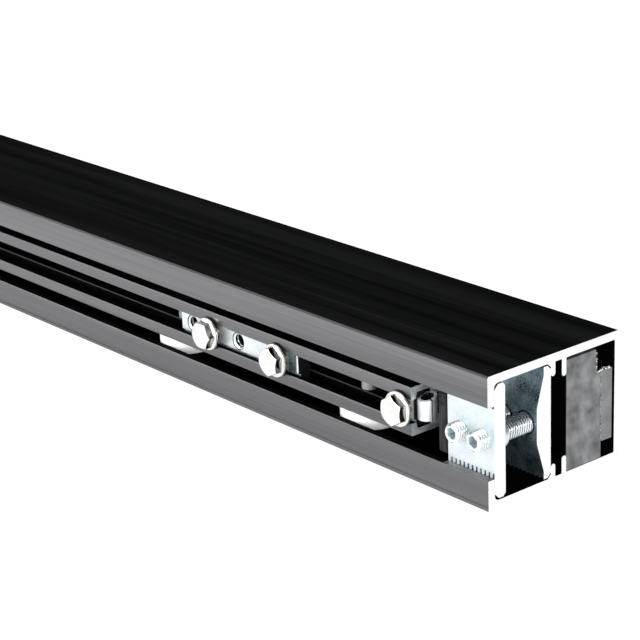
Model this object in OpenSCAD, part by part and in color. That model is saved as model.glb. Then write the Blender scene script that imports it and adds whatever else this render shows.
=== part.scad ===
// Linear-motor sliding door operator, lying on one side wall with its hanger slot facing -Y.
// X runs along the profile, Y from the slot face to the fixing face, Z up, in millimetres.
// The origin is the centre of the side wall that it lies on.
// The near end is the +X end, the far end the -X end.

/* [Housing profile] */
// Length of the housing
housing_length = 1200; // [1100:10:2400]
// Depth from the slot face to the fixing face
housing_depth = 85; // [83:0.5:110]
// Height across the two side walls
housing_height = 65; // [63:0.5:80]
// Thickness of each side wall
side_wall = 4.2; // [3:0.1:4.6]
// Thickness of the wall on the fixing face
fixing_wall = 2.4; // [2:0.1:4]
// Thickness of each lip beside the slot
lip_thickness = 4; // [3:0.1:5]
// Width of the slot between the lips
slot_width = 35; // [34:0.5:38]
// Fillet behind each lip
lip_fillet = 2.5; // [1:0.1:3]
// Distance from the slot face to the ribs that the end stops bear on
jaw_rib_distance = 40; // [39.5:0.1:42]
// Thickness of the jaw ribs
jaw_rib_thickness = 3; // [2:0.1:4]
// Length of the jaw ribs
jaw_rib_length = 6.7; // [4:0.1:8]
// Chamfer at the root of the jaw ribs
jaw_rib_chamfer = 2; // [1:0.1:3]
// Width of the groove between the jaw ribs and the stator ribs
rib_groove = 4.2; // [3.6:0.1:5]
// Thickness of the stator ribs
stator_rib_thickness = 3; // [2:0.1:4]
// Length of the stator ribs
stator_rib_length = 8.6; // [6:0.1:10]

/* [Stator modules] */
// Distance from each end of the housing to its stator module
module_inset = 0.3; // [0.2:0.1:10]
// Gap between the two stator modules at mid length
module_gap = 1; // [0.5:0.1:5]
// Gap above each stator module
module_top_gap = 1.6; // [0.5:0.1:2]
// Depth of the key strip behind each module
key_depth = 7.4; // [5:0.1:9]
// Height of the key strip
key_height = 40.4; // [40:0.1:46]
// Gap between the key strip and the fixing wall
key_gap = 1.4; // [0.3:0.1:3]
// Thickness of the potting in front of the coils
potting_skin = 2; // [1:0.1:3]
// Thickness of the potting at each end of a module
potting_end = 18; // [16:1:40]
// Length of the cable notch in a module's outer end
notch_length = 14; // [8:1:15]
// Depth of the cable notch into the block
notch_depth = 3.7; // [3:0.1:7]
// Height of the cable notch below the top of the block
notch_height = 11.7; // [8:0.1:13]
// Distance from one coil to the next
coil_pitch = 30; // [26:0.5:40]
// Length of one coil along the profile
coil_length = 25; // [22:0.5:25.5]
// Height of one coil
coil_height = 36; // [32:0.5:37]
// Gap above and below the coils in their pocket
coil_gap = 0.2; // [0.1:0.1:1]
// Width of the copper on each side of a tooth
coil_copper = 6; // [4:0.1:7]
// Thickness of the core behind the teeth
core_back = 5.5; // [4:0.1:7]

/* [Sensor board] */
// Length of the position sensor board
board_length = 300; // [150:10:400]
// Height of the board
board_height = 9; // [7:0.1:9.5]
// Thickness of the board
board_thickness = 1.6; // [1:0.1:2]
// Number of position sensors on the board
sensor_count = 5; // [3:1:7]
// Length of one sensor
sensor_length = 4; // [3:0.1:6]
// Thickness of one sensor
sensor_thickness = 0.9; // [0.6:0.1:1]

/* [End stops] */
// Length of each end stop along the profile
stop_length = 30; // [29:1:60]
// Thickness of the front plate
plate_thickness = 6.8; // [5:0.1:9]
// Gap above and below the front plate and the jaw
stop_gap = 0.8; // [0.3:0.1:2]
// Thickness of the jaw at its middle
jaw_mid_thickness = 9; // [8:0.1:12]
// Thickness of the jaw at its top and bottom
jaw_edge_thickness = 4.5; // [4:0.1:6]
// Height of the upright face at the jaw's top and bottom
jaw_edge_height = 4; // [2:0.1:8]
// Height of the thick middle of the jaw
jaw_mid_height = 17; // [14:0.5:24]
// Distance between serration teeth
tooth_pitch = 2.7; // [2:0.1:4]
// Depth of the serrations
tooth_depth = 0.9; // [0.4:0.1:1.2]
// Height of the toothed band that shows above each lip
tooth_show = 2.5; // [1:0.1:4]
// Diameter of the clamp screws
screw_d = 10; // [8:1:12]
// Distance of the outer clamp screw from the end of the housing
screw_inset = 7.3; // [7.2:0.1:8.9]
// Distance between the clamp screws
screw_spacing = 13.9; // [13:0.1:15.5]
// How far the clamp screws stand out of the slot face
screw_stand = 2.5; // [1:0.1:8]
// How far the clamp screw tips reach into the jaw
screw_bite = 3; // [1:0.1:4]
// Gap round the clamp screw tips in the jaw
jaw_hole_gap = 0.8; // [0.3:0.1:0.8]
// Hexagon socket size of the clamp screws
screw_socket = 5; // [4:0.1:6]
// Diameter of the bosses behind the front plate that the clamp screws run through
boss_d = 14; // [13:0.1:14.4]
// Height of those bosses
boss_height = 3; // [2:0.1:6]
// Thickness of the rubber bumper along the profile
bumper_thickness = 6.5; // [5:0.1:12]
// Height of the bumper
bumper_height = 29.5; // [26:0.5:31]
// Depth of the bumper
bumper_depth = 13; // [10:0.5:18]
// Diameter of the two pegs that hold the bumper
peg_d = 4; // [3:0.1:5]
// Length of the pegs
peg_length = 3; // [2:0.1:3.4]
// Distance between the pegs
peg_spread = 19; // [17:0.5:20]

/* [Carriage beam] */
// Length of the carriage beam
beam_length = 600; // [560:10:700]
// Distance from the near end of the housing to the beam at rest
beam_inset = 53; // [53:1:400]
// Distance of the beam's front behind the slot face
beam_recess = 2.5; // [1:0.1:3.5]
// Height of the beam
beam_height = 24.3; // [23:0.1:25]
// Width of the mouth of the T-slot
mouth_width = 11.7; // [11:0.1:13]
// Thickness of the beam's lips at the mouth
beam_lip = 3; // [2:0.1:3.5]
// Slope of the lips' inner faces, as extra thickness at the root
lip_slope = 1; // [0.5:0.1:1.5]
// Width of the nut groove
groove_width = 18; // [17:0.1:19]
// Depth of the nut groove behind the lips' roots
groove_depth = 8; // [7:0.1:8]
// Width of the axle slot behind the nut groove
axle_slot_width = 11; // [9:0.1:14]
// Material left behind the axles
axle_web = 4; // [3:0.1:6]
// Thickness of the beam's side walls beside the rear hollow
hollow_wall = 3; // [2:0.1:5]
// Thickness of the magnet flange
flange_thickness = 3.5; // [2.5:0.1:4]
// Height of the magnet flange
flange_height = 35; // [33:0.5:37]

/* [Magnets] */
// Air gap between the magnets and the stator
air_gap = 1.6; // [1:0.1:2.5]
// Thickness of the magnets
magnet_thickness = 6; // [4:0.1:7]
// Length of one magnet along the profile
magnet_length = 20; // [14:0.5:21]
// Height of the magnets
magnet_height = 32; // [28:0.5:34]
// Distance from one magnet to the next
magnet_pitch = 30; // [29:0.5:36]
// Distance from the beam's end to the magnet plate
magnet_plate_inset = 15; // [10:1:40]
// Shank diameter of the magnet plate screws
plate_screw_d = 4; // [3:0.1:5]
// Magnets between one plate screw and the next
plate_screw_step = 3; // [2:1:6]

/* [Rollers] */
// Diameter of the rollers
roller_d = 30; // [28:0.1:31]
// Width of the rollers
roller_width = 9; // [8:0.1:9.5]
// Height of each upper roller that shows in the slot
roller_show = 2.4; // [2:0.1:4]
// How much more of each lower roller shows in the slot
lower_show = 1.9; // [0:0.1:2.2]
// Gap between the rollers and the lips
roller_gap = 0.3; // [0.2:0.05:0.4]
// Distance from the beam's end to its first axle
axle_inset = 48; // [35:1:60]
// Distance between the two axles at one end of the beam
axle_spacing = 149; // [120:1:160]
// Diameter of the axles
axle_d = 8; // [6:0.1:8.5]
// Outer diameter of the ball bearings
bearing_d = 22; // [20:0.1:24]
// Width of the ball bearings
bearing_width = 7; // [6:0.1:7.2]
// Balls in one bearing
ball_count = 7; // [6:1:8]
// Length of axle outside the bearings
axle_end = 2.2; // [1.8:0.1:4]

/* [Hangers] */
// Width across flats of the hanger bolts
hex_flats = 13; // [12:0.1:14]
// Height of the hexagon
hex_height = 4; // [3:0.1:6]
// Diameter of the flange under the hexagon
bolt_flange_d = 17.5; // [16:0.1:19]
// Thickness of the flange
bolt_flange_thickness = 1.5; // [1:0.1:3]
// Shank diameter of the hanger bolts
bolt_d = 8; // [7:0.1:8.4]
// Tapping hole diameter of the free holes
tap_d = 6.8; // [6:0.1:7]
// Gap between the beam's front and the bolt flanges
bolt_gap = 1.2; // [0.5:0.1:6]
// Length of each hanger bar
bar_length = 96; // [94:1:110]
// Distance from the beam's end to the middle of its hanger bar
bar_inset = 133.5; // [130:0.5:160]
// Height of the part of the bar between the lips
bar_boss_height = 10.4; // [9:0.1:10.8]
// Distance of the bar's face behind the beam's front
bar_recess = 2.8; // [1:0.1:2.9]
// Depth of the bar behind the lips
bar_depth = 6; // [4:0.1:6.5]
// Distance from the bar's middle to its inner bolt, away from the beam's end
inner_bolt = 20.5; // [16:0.5:22]
// Distance from the bar's middle to its outer bolt, towards the beam's end
outer_bolt = 35; // [30:0.5:40]
// Distance from the bar's middle to the free hole beyond the inner bolt
end_hole = 38.5; // [36:0.5:42]

/* [Strikers] */
// Length of the striker's nut block along the beam
striker_length = 15; // [13:0.5:16]
// Distance from the beam's end to the striker's bolt
striker_bolt_inset = 7.5; // [7:0.1:8]
// Outer diameter of the rolled eye
eye_d = 9.6; // [8:0.1:10.4]
// Wall thickness of the eye
eye_wall = 1.9; // [1.2:0.1:2.4]
// Gap above and below the eye in the axle slot
eye_gap = 0.75; // [0.25:0.05:1.5]
// How far the eye's axis stands out of the beam's end
eye_stand = 2; // [1.6:0.1:4]
// Distance of the eye's axis behind the front of the nut block
eye_setback = 4.2; // [3.4:0.1:5]

/* [Clearances] */
// Gap between flat faces that bear on each other
seat_gap = 0.05; // [0.02:0.01:0.1]
// Gap round a piece that slides in a groove
slide_gap = 0.25; // [0.15:0.05:0.4]
// Gap round a shaft in its hole, on the radius
shaft_gap = 0.05; // [0.02:0.01:0.08]

/* [Hidden] */
$fn = 48;

// Overshoot of every cut past the face that it opens
cut = 1;
middle = housing_height / 2;
half_length = housing_length / 2;

// Proportions of the fasteners and bearings
head_share = 0.9;
head_height_share = 0.6;
head_socket_share = 0.7;
ball_share = 0.28;
land_share = 0.55;
hex_chamfer_share = 0.97;
root_share = 0.75;
collar_width = 2;

// Distances from the slot face, in the order in which the section is stacked
stator_rib_front = jaw_rib_distance + jaw_rib_thickness + rib_groove;
stator_front = stator_rib_front + stator_rib_thickness + slide_gap;
key_rear = housing_depth - fixing_wall - key_gap;
block_rear = key_rear - key_depth;
pocket_front = stator_front + potting_skin;
core_rear = block_rear - seat_gap;
core_front = core_rear - core_back;
block_bottom = side_wall + seat_gap;
block_top = housing_height - side_wall - module_top_gap;
pocket_height = coil_height + 2 * coil_gap;
module_length = half_length - module_inset - module_gap / 2;
coil_count = floor((module_length - 2 * potting_end - coil_length) / coil_pitch) + 1;
tooth_length = coil_length - 2 * coil_copper - 2 * slide_gap;
tooth_height = coil_height - 2 * coil_copper - 2 * slide_gap;
coil_corner = 4;
wire_corner = 1;

plate_front = lip_thickness + seat_gap;
plate_rear = plate_front + plate_thickness;
stop_low = side_wall + stop_gap;
stop_height = housing_height - 2 * stop_low;
jaw_rear = jaw_rib_distance - seat_gap;
jaw_front = jaw_rear - jaw_mid_thickness;
slot_low = middle - slot_width / 2;
screw_tip = jaw_front + screw_bite;
bumper_face = half_length - stop_length - bumper_thickness;
socket_depth = screw_d / 2;
screw_chamfer = 1;
edge_break = 1.5;

beam_near = half_length - beam_inset;
beam_middle = beam_near - beam_length / 2;
lip_rear = beam_recess + beam_lip;
groove_front = lip_rear + lip_slope;
groove_rear = groove_front + groove_depth;
roller_r = roller_d / 2;
axle_line = lip_thickness + roller_gap + roller_r;
axle_slot_rear = axle_line + axle_d / 2 + slide_gap;
hollow_front = axle_slot_rear + axle_web;
flange_front = axle_line + roller_r + 2 * roller_gap;
flange_rear = flange_front + flange_thickness;
magnet_rear = stator_front - air_gap;
magnet_front = magnet_rear - magnet_thickness;
plate_length = beam_length - 2 * magnet_plate_inset;
magnet_count = floor((plate_length - magnet_length) / magnet_pitch) + 1;
plate_screw_r = plate_screw_d / 2;
plate_screw_head_r = plate_screw_d * head_share;
plate_screw_head = plate_screw_d * head_height_share;

// Heights from the middle of the beam, in the order in which an axle is stacked
roller_inner = slot_width / 2 - roller_show;
bearing_inner = roller_inner + (roller_width - bearing_width) / 2;
bearing_outer = bearing_inner + bearing_width;
axle_half = bearing_outer + axle_end;
axle_r = axle_d / 2;
bearing_r = bearing_d / 2;
race_line = (axle_r + bearing_r) / 2;
ball_r = (bearing_r - axle_r) * ball_share;
race_gap = 0.05;
ring_land = ball_r * land_share;
clip_thickness = 0.8;
clip_groove = 0.6;
collar_r = axle_r + collar_width;
tyre_lip = 0.7;
tyre_round = 0.8;

boss_front = beam_recess + bar_recess;
bar_front = groove_front + slide_gap;
bar_rear = bar_front + bar_depth;
bar_height = groove_width - 2 * slide_gap;
flange_back = beam_recess - bolt_gap;
bolt_head_front = flange_back - bolt_flange_thickness - hex_height;
bolt_tip = bar_rear + slide_gap;
thread_chamfer = 1.1;
bar_middle = beam_length / 2 - bar_inset;
striker_bolt = beam_length / 2 - striker_bolt_inset;
eye_line = bar_front + eye_setback;
eye_r = eye_d / 2;
eye_height = axle_slot_width - 2 * eye_gap;
eye_root = eye_wall * root_share;

// Colours of the finishes
black_anodised = "#1d1d1f";
zinc = "#c3d0d4";
bright_steel = "#d8d8d6";
rubber_grey = "#39393b";
nylon_white = "#f4f4f2";
potting_grey = "#7f8082";
copper = "#b5652f";
lamination = "#5e6266";
board_green = "#1f5a3a";
sensor_black = "#18181a";
magnet_nickel = "#b9babd";

// Place along Y of a distance from the slot face
function at_depth(distance) = distance - housing_depth / 2;
// Place along X of one coil, counted from mid length
function coil_x(index) =
    module_gap / 2 + module_length / 2 + (index - (coil_count - 1) / 2) * coil_pitch;
// Place along X of one magnet, from the beam's middle
function magnet_x(index) = (index - (magnet_count - 1) / 2) * magnet_pitch;
// Place along X of one of the four axles, from the beam's middle
function axle_x(station) =
    let (end = station < 2 ? 1 : -1, inner = station == 1 || station == 2 ? axle_spacing : 0)
    end * (beam_length / 2 - axle_inset - inner);
// Axle and side of one of the eight rollers
function roller_station(index) = floor((index - 1) / 2);
function roller_side(index) = index % 2 == 1 ? -1 : 1;

// Carries a section, drawn as distance from the slot face and height, along X
module along_x(from, to) {
    translate([from, at_depth(0), 0])
        rotate([90, 0, 90])
            linear_extrude(to - from)
                children();
}

// Turns something built along Z so that it runs along +Y from a distance behind the slot face
module along_y(x, distance, z) {
    translate([x, at_depth(distance), z])
        rotate([-90, 0, 0])
            children();
}

// Repeats a section on the other side of the middle height
module both_sides() {
    children();
    translate([0, housing_height])
        mirror([0, 1])
            children();
}

// Draws for the near end, or mirrored for the far end of the housing
module at_end(end) {
    mirror([end > 0 ? 0 : 1, 0, 0])
        children();
}

// Draws for the near end, or mirrored for the far end of the beam, from the beam's middle
module at_beam_end(end) {
    translate([beam_middle, 0, 0])
        mirror([end > 0 ? 0 : 1, 0, 0])
            children();
}

// Draws at one axle, on the lower or upper side of the beam, with +Z away from the beam
module at_roller(station, side) {
    $inward = side > 0 ? 0 : lower_show;
    translate([beam_middle + axle_x(station), at_depth(axle_line), middle])
        mirror([0, 0, side > 0 ? 0 : 1])
            translate([0, 0, -$inward])
                children();
}

module lip_fillet_section() {
    difference() {
        translate([lip_thickness - cut, side_wall - cut])
            square(lip_fillet + cut);
        translate([lip_thickness + lip_fillet, side_wall + lip_fillet])
            circle(lip_fillet);
    }
}

// A rib that stands on the lower side wall and ends in a round tip
module rib_section(front, thickness, length) {
    straight = length - thickness / 2;
    translate([front, side_wall - cut])
        square([thickness, straight + cut]);
    translate([front + thickness / 2, side_wall + straight])
        circle(thickness / 2);
}

module jaw_rib_root_section() {
    polygon([
        [jaw_rib_distance - jaw_rib_chamfer, side_wall],
        [jaw_rib_distance - jaw_rib_chamfer, side_wall - cut],
        [jaw_rib_distance + cut, side_wall - cut],
        [jaw_rib_distance + cut, side_wall + jaw_rib_chamfer],
        [jaw_rib_distance, side_wall + jaw_rib_chamfer]
    ]);
}

module housing_section() {
    difference() {
        square([housing_depth, housing_height]);
        translate([lip_thickness, side_wall])
            square([housing_depth - lip_thickness - fixing_wall, housing_height - 2 * side_wall]);
        translate([-cut, slot_low])
            square([lip_thickness + 2 * cut, slot_width]);
    }
    both_sides() {
        lip_fillet_section();
        jaw_rib_root_section();
        rib_section(jaw_rib_distance, jaw_rib_thickness, jaw_rib_length);
        rib_section(stator_rib_front, stator_rib_thickness, stator_rib_length);
    }
}

module housing() {
    color(black_anodised)
        along_x(-half_length, half_length)
            housing_section();
}

// Square cut for the cable in the upper rear corner of a module's outer end
module cable_notch() {
    along_x(half_length - module_inset - notch_length, half_length)
        translate([block_rear - notch_depth, block_top - notch_height])
            square([notch_depth + key_depth + cut, notch_height + cut]);
}

module stator_potting(end) {
    color(potting_grey)
        at_end(end)
            difference() {
                along_x(module_gap / 2, half_length - module_inset)
                    translate([stator_front, block_bottom])
                        square([block_rear - stator_front, block_top - block_bottom]);
                along_x(module_gap / 2 + potting_end, half_length - module_inset - potting_end)
                    translate([pocket_front, middle - pocket_height / 2])
                        square([block_rear - pocket_front + cut, pocket_height]);
                cable_notch();
            }
}

module stator_key(end) {
    color(lamination)
        at_end(end)
            difference() {
                along_x(module_gap / 2, half_length - module_inset)
                    translate([block_rear, middle - key_height / 2])
                        square([key_depth, key_height]);
                cable_notch();
            }
}

// Comb core: a back bar with one tooth for each coil
module stator_core(end) {
    bar_overhang = coil_length / 2;
    color(lamination)
        at_end(end) {
            along_x(coil_x(0) - bar_overhang, coil_x(coil_count - 1) + bar_overhang)
                translate([core_front, middle - coil_height / 2])
                    square([core_back, coil_height]);
            for (index = [0 : coil_count - 1])
                along_x(coil_x(index) - tooth_length / 2, coil_x(index) + tooth_length / 2)
                    translate([pocket_front + slide_gap, middle - tooth_height / 2])
                        square([core_front + cut - pocket_front - slide_gap, tooth_height]);
        }
}

// Rectangle with round corners, centred
module round_rectangle(width, height, corner) {
    square([width - 2 * corner, height], center = true);
    square([width, height - 2 * corner], center = true);
    for (x = [-1, 1], y = [-1, 1])
        translate([x * (width / 2 - corner), y * (height / 2 - corner)])
            circle(corner);
}

module coil() {
    linear_extrude(core_front - pocket_front - 2 * slide_gap)
        difference() {
            round_rectangle(coil_length, coil_height, coil_corner);
            round_rectangle(coil_length - 2 * coil_copper, coil_height - 2 * coil_copper, wire_corner);
        }
}

module stator_coils(end) {
    color(copper)
        at_end(end)
            for (index = [0 : coil_count - 1])
                along_y(coil_x(index), pocket_front + slide_gap, middle)
                    coil();
}

module sensor_board() {
    groove_middle = stator_rib_front - rib_groove / 2;
    color(board_green)
        along_x(-board_length / 2, board_length / 2)
            translate([groove_middle - board_thickness / 2, side_wall + seat_gap])
                square([board_thickness, board_height]);
}

module position_sensors() {
    groove_middle = stator_rib_front - rib_groove / 2;
    step = board_length / (sensor_count + 1);
    color(sensor_black)
        for (index = [1 : sensor_count])
            translate([index * step - board_length / 2 - sensor_length / 2, 0, 0])
                along_x(0, sensor_length)
                    translate([groove_middle + board_thickness / 2,
                               side_wall + seat_gap + board_height - sensor_length])
                        square([sensor_thickness, sensor_length]);
}

// A row of V grooves along X, each a triangle of the tooth depth carried along Z
module serrations(height) {
    count = floor(stop_length / tooth_pitch);
    for (index = [0 : count - 1])
        translate([half_length - (index + 0.5) * tooth_pitch, 0, 0])
            linear_extrude(height)
                polygon([
                    [-tooth_pitch / 2, -cut],
                    [-tooth_pitch / 2, 0],
                    [0, tooth_depth],
                    [tooth_pitch / 2, 0],
                    [tooth_pitch / 2, -cut]
                ]);
}

module plate_section() {
    translate([plate_front, stop_low])
        polygon([
            [lip_fillet, 0],
            [plate_thickness - edge_break, 0],
            [plate_thickness, edge_break],
            [plate_thickness, stop_height - edge_break],
            [plate_thickness - edge_break, stop_height],
            [lip_fillet, stop_height],
            [0, stop_height - lip_fillet],
            [0, lip_fillet]
        ]);
}

// Toothed bands of the front plate, which grip behind the lips
module plate_teeth() {
    band = slot_low + tooth_show - stop_low;
    for (low = [stop_low, stop_low + stop_height - band])
        translate([0, at_depth(plate_front), low])
            serrations(band);
}

function clamp_screw_x(index) = half_length - screw_inset - index * screw_spacing;

// Bores for the two clamp screws, from a distance behind the slot face
module clamp_screw_bores(from, depth, gap) {
    for (index = [0, 1])
        along_y(clamp_screw_x(index), from, middle)
            cylinder(r = screw_d / 2 + gap, h = depth);
}

// Places of the pegs that hold the bumper, in the plate's inner end
module at_pegs(from) {
    for (side = [-1, 1])
        translate([from, at_depth(plate_front + plate_thickness / 2), middle + side * peg_spread / 2])
            rotate([0, 90, 0])
                children();
}

module stop_plate(end) {
    color(zinc)
        at_end(end)
            difference() {
                union() {
                    along_x(half_length - stop_length, half_length)
                        plate_section();
                    for (index = [0, 1])
                        along_y(clamp_screw_x(index), plate_rear - cut, middle)
                            cylinder(d = boss_d, h = boss_height + cut);
                }
                plate_teeth();
                clamp_screw_bores(plate_front - cut, plate_thickness + boss_height + 2 * cut, shaft_gap);
                at_pegs(half_length - stop_length - cut)
                    cylinder(r = peg_d / 2 + shaft_gap, h = peg_length + shaft_gap + cut);
            }
}

// Wedge section of the jaw: thick in the middle, bevelled to an upright face at its top and bottom
module jaw_section() {
    edge_front = jaw_rear - jaw_edge_thickness;
    corner = jaw_rib_chamfer + seat_gap;
    polygon([
        [jaw_rear - corner, stop_low],
        [jaw_rear, stop_low + corner],
        [jaw_rear, stop_low + stop_height - corner],
        [jaw_rear - corner, stop_low + stop_height],
        [edge_front, stop_low + stop_height],
        [edge_front, stop_low + stop_height - jaw_edge_height],
        [jaw_front, middle + jaw_mid_height / 2],
        [jaw_front, middle - jaw_mid_height / 2],
        [edge_front, stop_low + jaw_edge_height],
        [edge_front, stop_low]
    ]);
}

// Toothed top and bottom edges of the jaw
module jaw_teeth() {
    width = jaw_mid_thickness + 2 * cut;
    for (upper = [0, 1])
        translate([0, at_depth(jaw_rear + cut), upper * housing_height])
            mirror([0, 0, upper])
                translate([0, 0, stop_low])
                    rotate([90, 0, 0])
                        serrations(width);
}

module stop_jaw(end) {
    color(zinc)
        at_end(end)
            difference() {
                along_x(half_length - stop_length, half_length)
                    jaw_section();
                jaw_teeth();
                clamp_screw_bores(jaw_front - cut, cut + screw_bite + shaft_gap, jaw_hole_gap);
            }
}

// Headless screw with a hexagon socket at its front and both ends chamfered
module clamp_screw() {
    length = screw_stand + screw_tip;
    radius = screw_d / 2;
    difference() {
        rotate_extrude()
            polygon([
                [0, 0],
                [radius - screw_chamfer, 0],
                [radius, screw_chamfer],
                [radius, length - screw_chamfer],
                [radius - screw_chamfer, length],
                [0, length]
            ]);
        translate([0, 0, -cut])
            cylinder(d = screw_socket / cos(30), h = socket_depth + cut, $fn = 6);
    }
}

module stop_screws(end) {
    color(zinc)
        at_end(end)
            for (index = [0, 1])
                along_y(clamp_screw_x(index), -screw_stand, middle)
                    clamp_screw();
}

module bumper_section() {
    translate([plate_front, middle - bumper_height / 2])
        polygon([
            [0, 0],
            [bumper_depth - edge_break, 0],
            [bumper_depth, edge_break],
            [bumper_depth, bumper_height - edge_break],
            [bumper_depth - edge_break, bumper_height],
            [0, bumper_height]
        ]);
}

module stop_bumper(end) {
    color(rubber_grey)
        at_end(end) {
            along_x(bumper_face, half_length - stop_length - seat_gap)
                bumper_section();
            at_pegs(half_length - stop_length - cut)
                cylinder(r = peg_d / 2, h = peg_length + cut);
        }
}

// Mouth, nut groove with sloped lips and axle slot, one behind the other
module t_slot_section() {
    mouth = mouth_width / 2;
    groove = groove_width / 2;
    slot = axle_slot_width / 2;
    translate([0, middle])
        polygon([
            [beam_recess - cut, -mouth],
            [lip_rear, -mouth],
            [groove_front, -groove],
            [groove_rear, -groove],
            [groove_rear, -slot],
            [axle_slot_rear, -slot],
            [axle_slot_rear, slot],
            [groove_rear, slot],
            [groove_rear, groove],
            [groove_front, groove],
            [lip_rear, mouth],
            [beam_recess - cut, mouth]
        ]);
}

module beam_section() {
    difference() {
        union() {
            translate([beam_recess, middle - beam_height / 2])
                square([flange_front - beam_recess + cut, beam_height]);
            translate([flange_front, middle - flange_height / 2])
                square([flange_thickness, flange_height]);
        }
        t_slot_section();
        translate([hollow_front, middle - beam_height / 2 + hollow_wall])
            square([flange_front - hollow_front, beam_height - 2 * hollow_wall]);
    }
}

// Places of the screws that hold the magnet plate, in gaps between magnets
module at_plate_screws() {
    for (index = [1 : plate_screw_step : magnet_count - 1])
        along_y(beam_middle + magnet_x(index) - magnet_pitch / 2, flange_front, middle)
            children();
}

module carriage_beam() {
    color(black_anodised)
        difference() {
            along_x(beam_near - beam_length, beam_near)
                beam_section();
            for (station = [0 : 3])
                at_roller(station, 1)
                    cylinder(r = axle_r + shaft_gap, h = beam_height + 2 * cut, center = true);
            at_plate_screws()
                translate([0, 0, -cut])
                    cylinder(r = plate_screw_r + shaft_gap, h = flange_thickness + 2 * cut);
        }
}

module magnet_plate() {
    color(lamination)
        difference() {
            along_x(beam_middle - plate_length / 2, beam_middle + plate_length / 2)
                translate([flange_rear, middle - flange_height / 2])
                    square([magnet_front - flange_rear, flange_height]);
            at_plate_screws() {
                cylinder(r = plate_screw_r + shaft_gap, h = magnet_front - flange_front + cut);
                translate([0, 0, magnet_front - flange_front - plate_screw_head - shaft_gap])
                    cylinder(r = plate_screw_head_r + shaft_gap, h = plate_screw_head + cut);
            }
        }
}

module magnets() {
    color(magnet_nickel)
        for (index = [0 : magnet_count - 1])
            along_x(beam_middle + magnet_x(index) - magnet_length / 2,
                    beam_middle + magnet_x(index) + magnet_length / 2)
                translate([magnet_front, middle - magnet_height / 2])
                    square([magnet_thickness, magnet_height]);
}

module magnet_plate_screws() {
    length = magnet_front - flange_front;
    color(bright_steel)
        at_plate_screws()
            difference() {
                union() {
                    cylinder(r = plate_screw_r, h = length);
                    translate([0, 0, length - plate_screw_head])
                        cylinder(r = plate_screw_head_r, h = plate_screw_head);
                }
                translate([0, 0, length - plate_screw_head * head_socket_share])
                    cylinder(r = plate_screw_r * head_socket_share, h = plate_screw_head, $fn = 6);
            }
}

// Half of an axle's outline, from the beam's middle to its end, with the clip's groove
module axle_half_section() {
    groove_low = bearing_outer;
    groove_high = bearing_outer + clip_thickness + 2 * shaft_gap;
    polygon([
        [0, 0],
        [axle_r, 0],
        [axle_r, groove_low],
        [axle_r - clip_groove, groove_low],
        [axle_r - clip_groove, groove_high],
        [axle_r, groove_high],
        [axle_r, axle_half - clip_groove],
        [axle_r - clip_groove, axle_half],
        [0, axle_half]
    ]);
}

module axles() {
    color(bright_steel)
        for (station = [0 : 3])
            for (side = [-1, 1])
                at_roller(station, side)
                    rotate_extrude()
                        axle_half_section();
}

module ring(inner, outer, low, high) {
    translate([0, 0, low])
        difference() {
            cylinder(r = outer, h = high - low);
            translate([0, 0, -cut])
                cylinder(r = inner, h = high - low + 2 * cut);
        }
}

module at_every_roller() {
    for (station = [0 : 3])
        for (side = [-1, 1])
            at_roller(station, side)
                children();
}

module axle_spacers() {
    color(bright_steel)
        at_every_roller()
            ring(axle_r + shaft_gap, collar_r, beam_height / 2 + seat_gap + $inward, bearing_inner - seat_gap);
}

// Open retaining ring in the axle's groove
module axle_clips() {
    low = bearing_outer + shaft_gap;
    color(bright_steel)
        at_every_roller()
            difference() {
                ring(axle_r - clip_groove + shaft_gap, collar_r, low, low + clip_thickness);
                translate([0, -axle_r + clip_groove, low - cut])
                    cube([collar_r + cut, 2 * (axle_r - clip_groove), clip_thickness + 2 * cut]);
            }
}

// Groove that the balls run in
module race() {
    translate([0, 0, (bearing_inner + bearing_outer) / 2])
        rotate_extrude()
            translate([race_line, 0])
                circle(ball_r + race_gap);
}

module bearing_inner_rings() {
    color(bright_steel)
        at_every_roller()
            difference() {
                ring(axle_r + shaft_gap, race_line - ring_land, bearing_inner, bearing_outer);
                race();
            }
}

module bearing_balls() {
    color(bright_steel)
        at_every_roller()
            for (index = [0 : ball_count - 1])
                rotate([0, 0, index * 360 / ball_count])
                    translate([race_line, 0, (bearing_inner + bearing_outer) / 2])
                        sphere(ball_r);
}

module bearing_outer_ring(index) {
    color(bright_steel)
        at_roller(roller_station(index), roller_side(index))
            difference() {
                ring(race_line + ring_land, bearing_r, bearing_inner, bearing_outer);
                race();
            }
}

// Outline of a tyre: round outer edges, with a lip at each face that keeps the bearing in
module tyre_section() {
    seat = bearing_r + shaft_gap;
    seat_low = bearing_inner - roller_inner - shaft_gap;
    seat_high = bearing_outer - roller_inner + shaft_gap;
    lip_r = bearing_r - tyre_lip;
    difference() {
        union() {
            translate([lip_r, 0])
                square([roller_r - tyre_round - lip_r, roller_width]);
            translate([lip_r, tyre_round])
                square([roller_r - lip_r, roller_width - 2 * tyre_round]);
            for (height = [tyre_round, roller_width - tyre_round])
                translate([roller_r - tyre_round, height])
                    circle(tyre_round);
        }
        translate([lip_r - cut, seat_low])
            square([seat - lip_r + cut, seat_high - seat_low]);
    }
}

module roller_tyre(index) {
    color(nylon_white)
        at_roller(roller_station(index), roller_side(index))
            translate([0, 0, roller_inner])
                rotate_extrude()
                    tyre_section();
}

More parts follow.
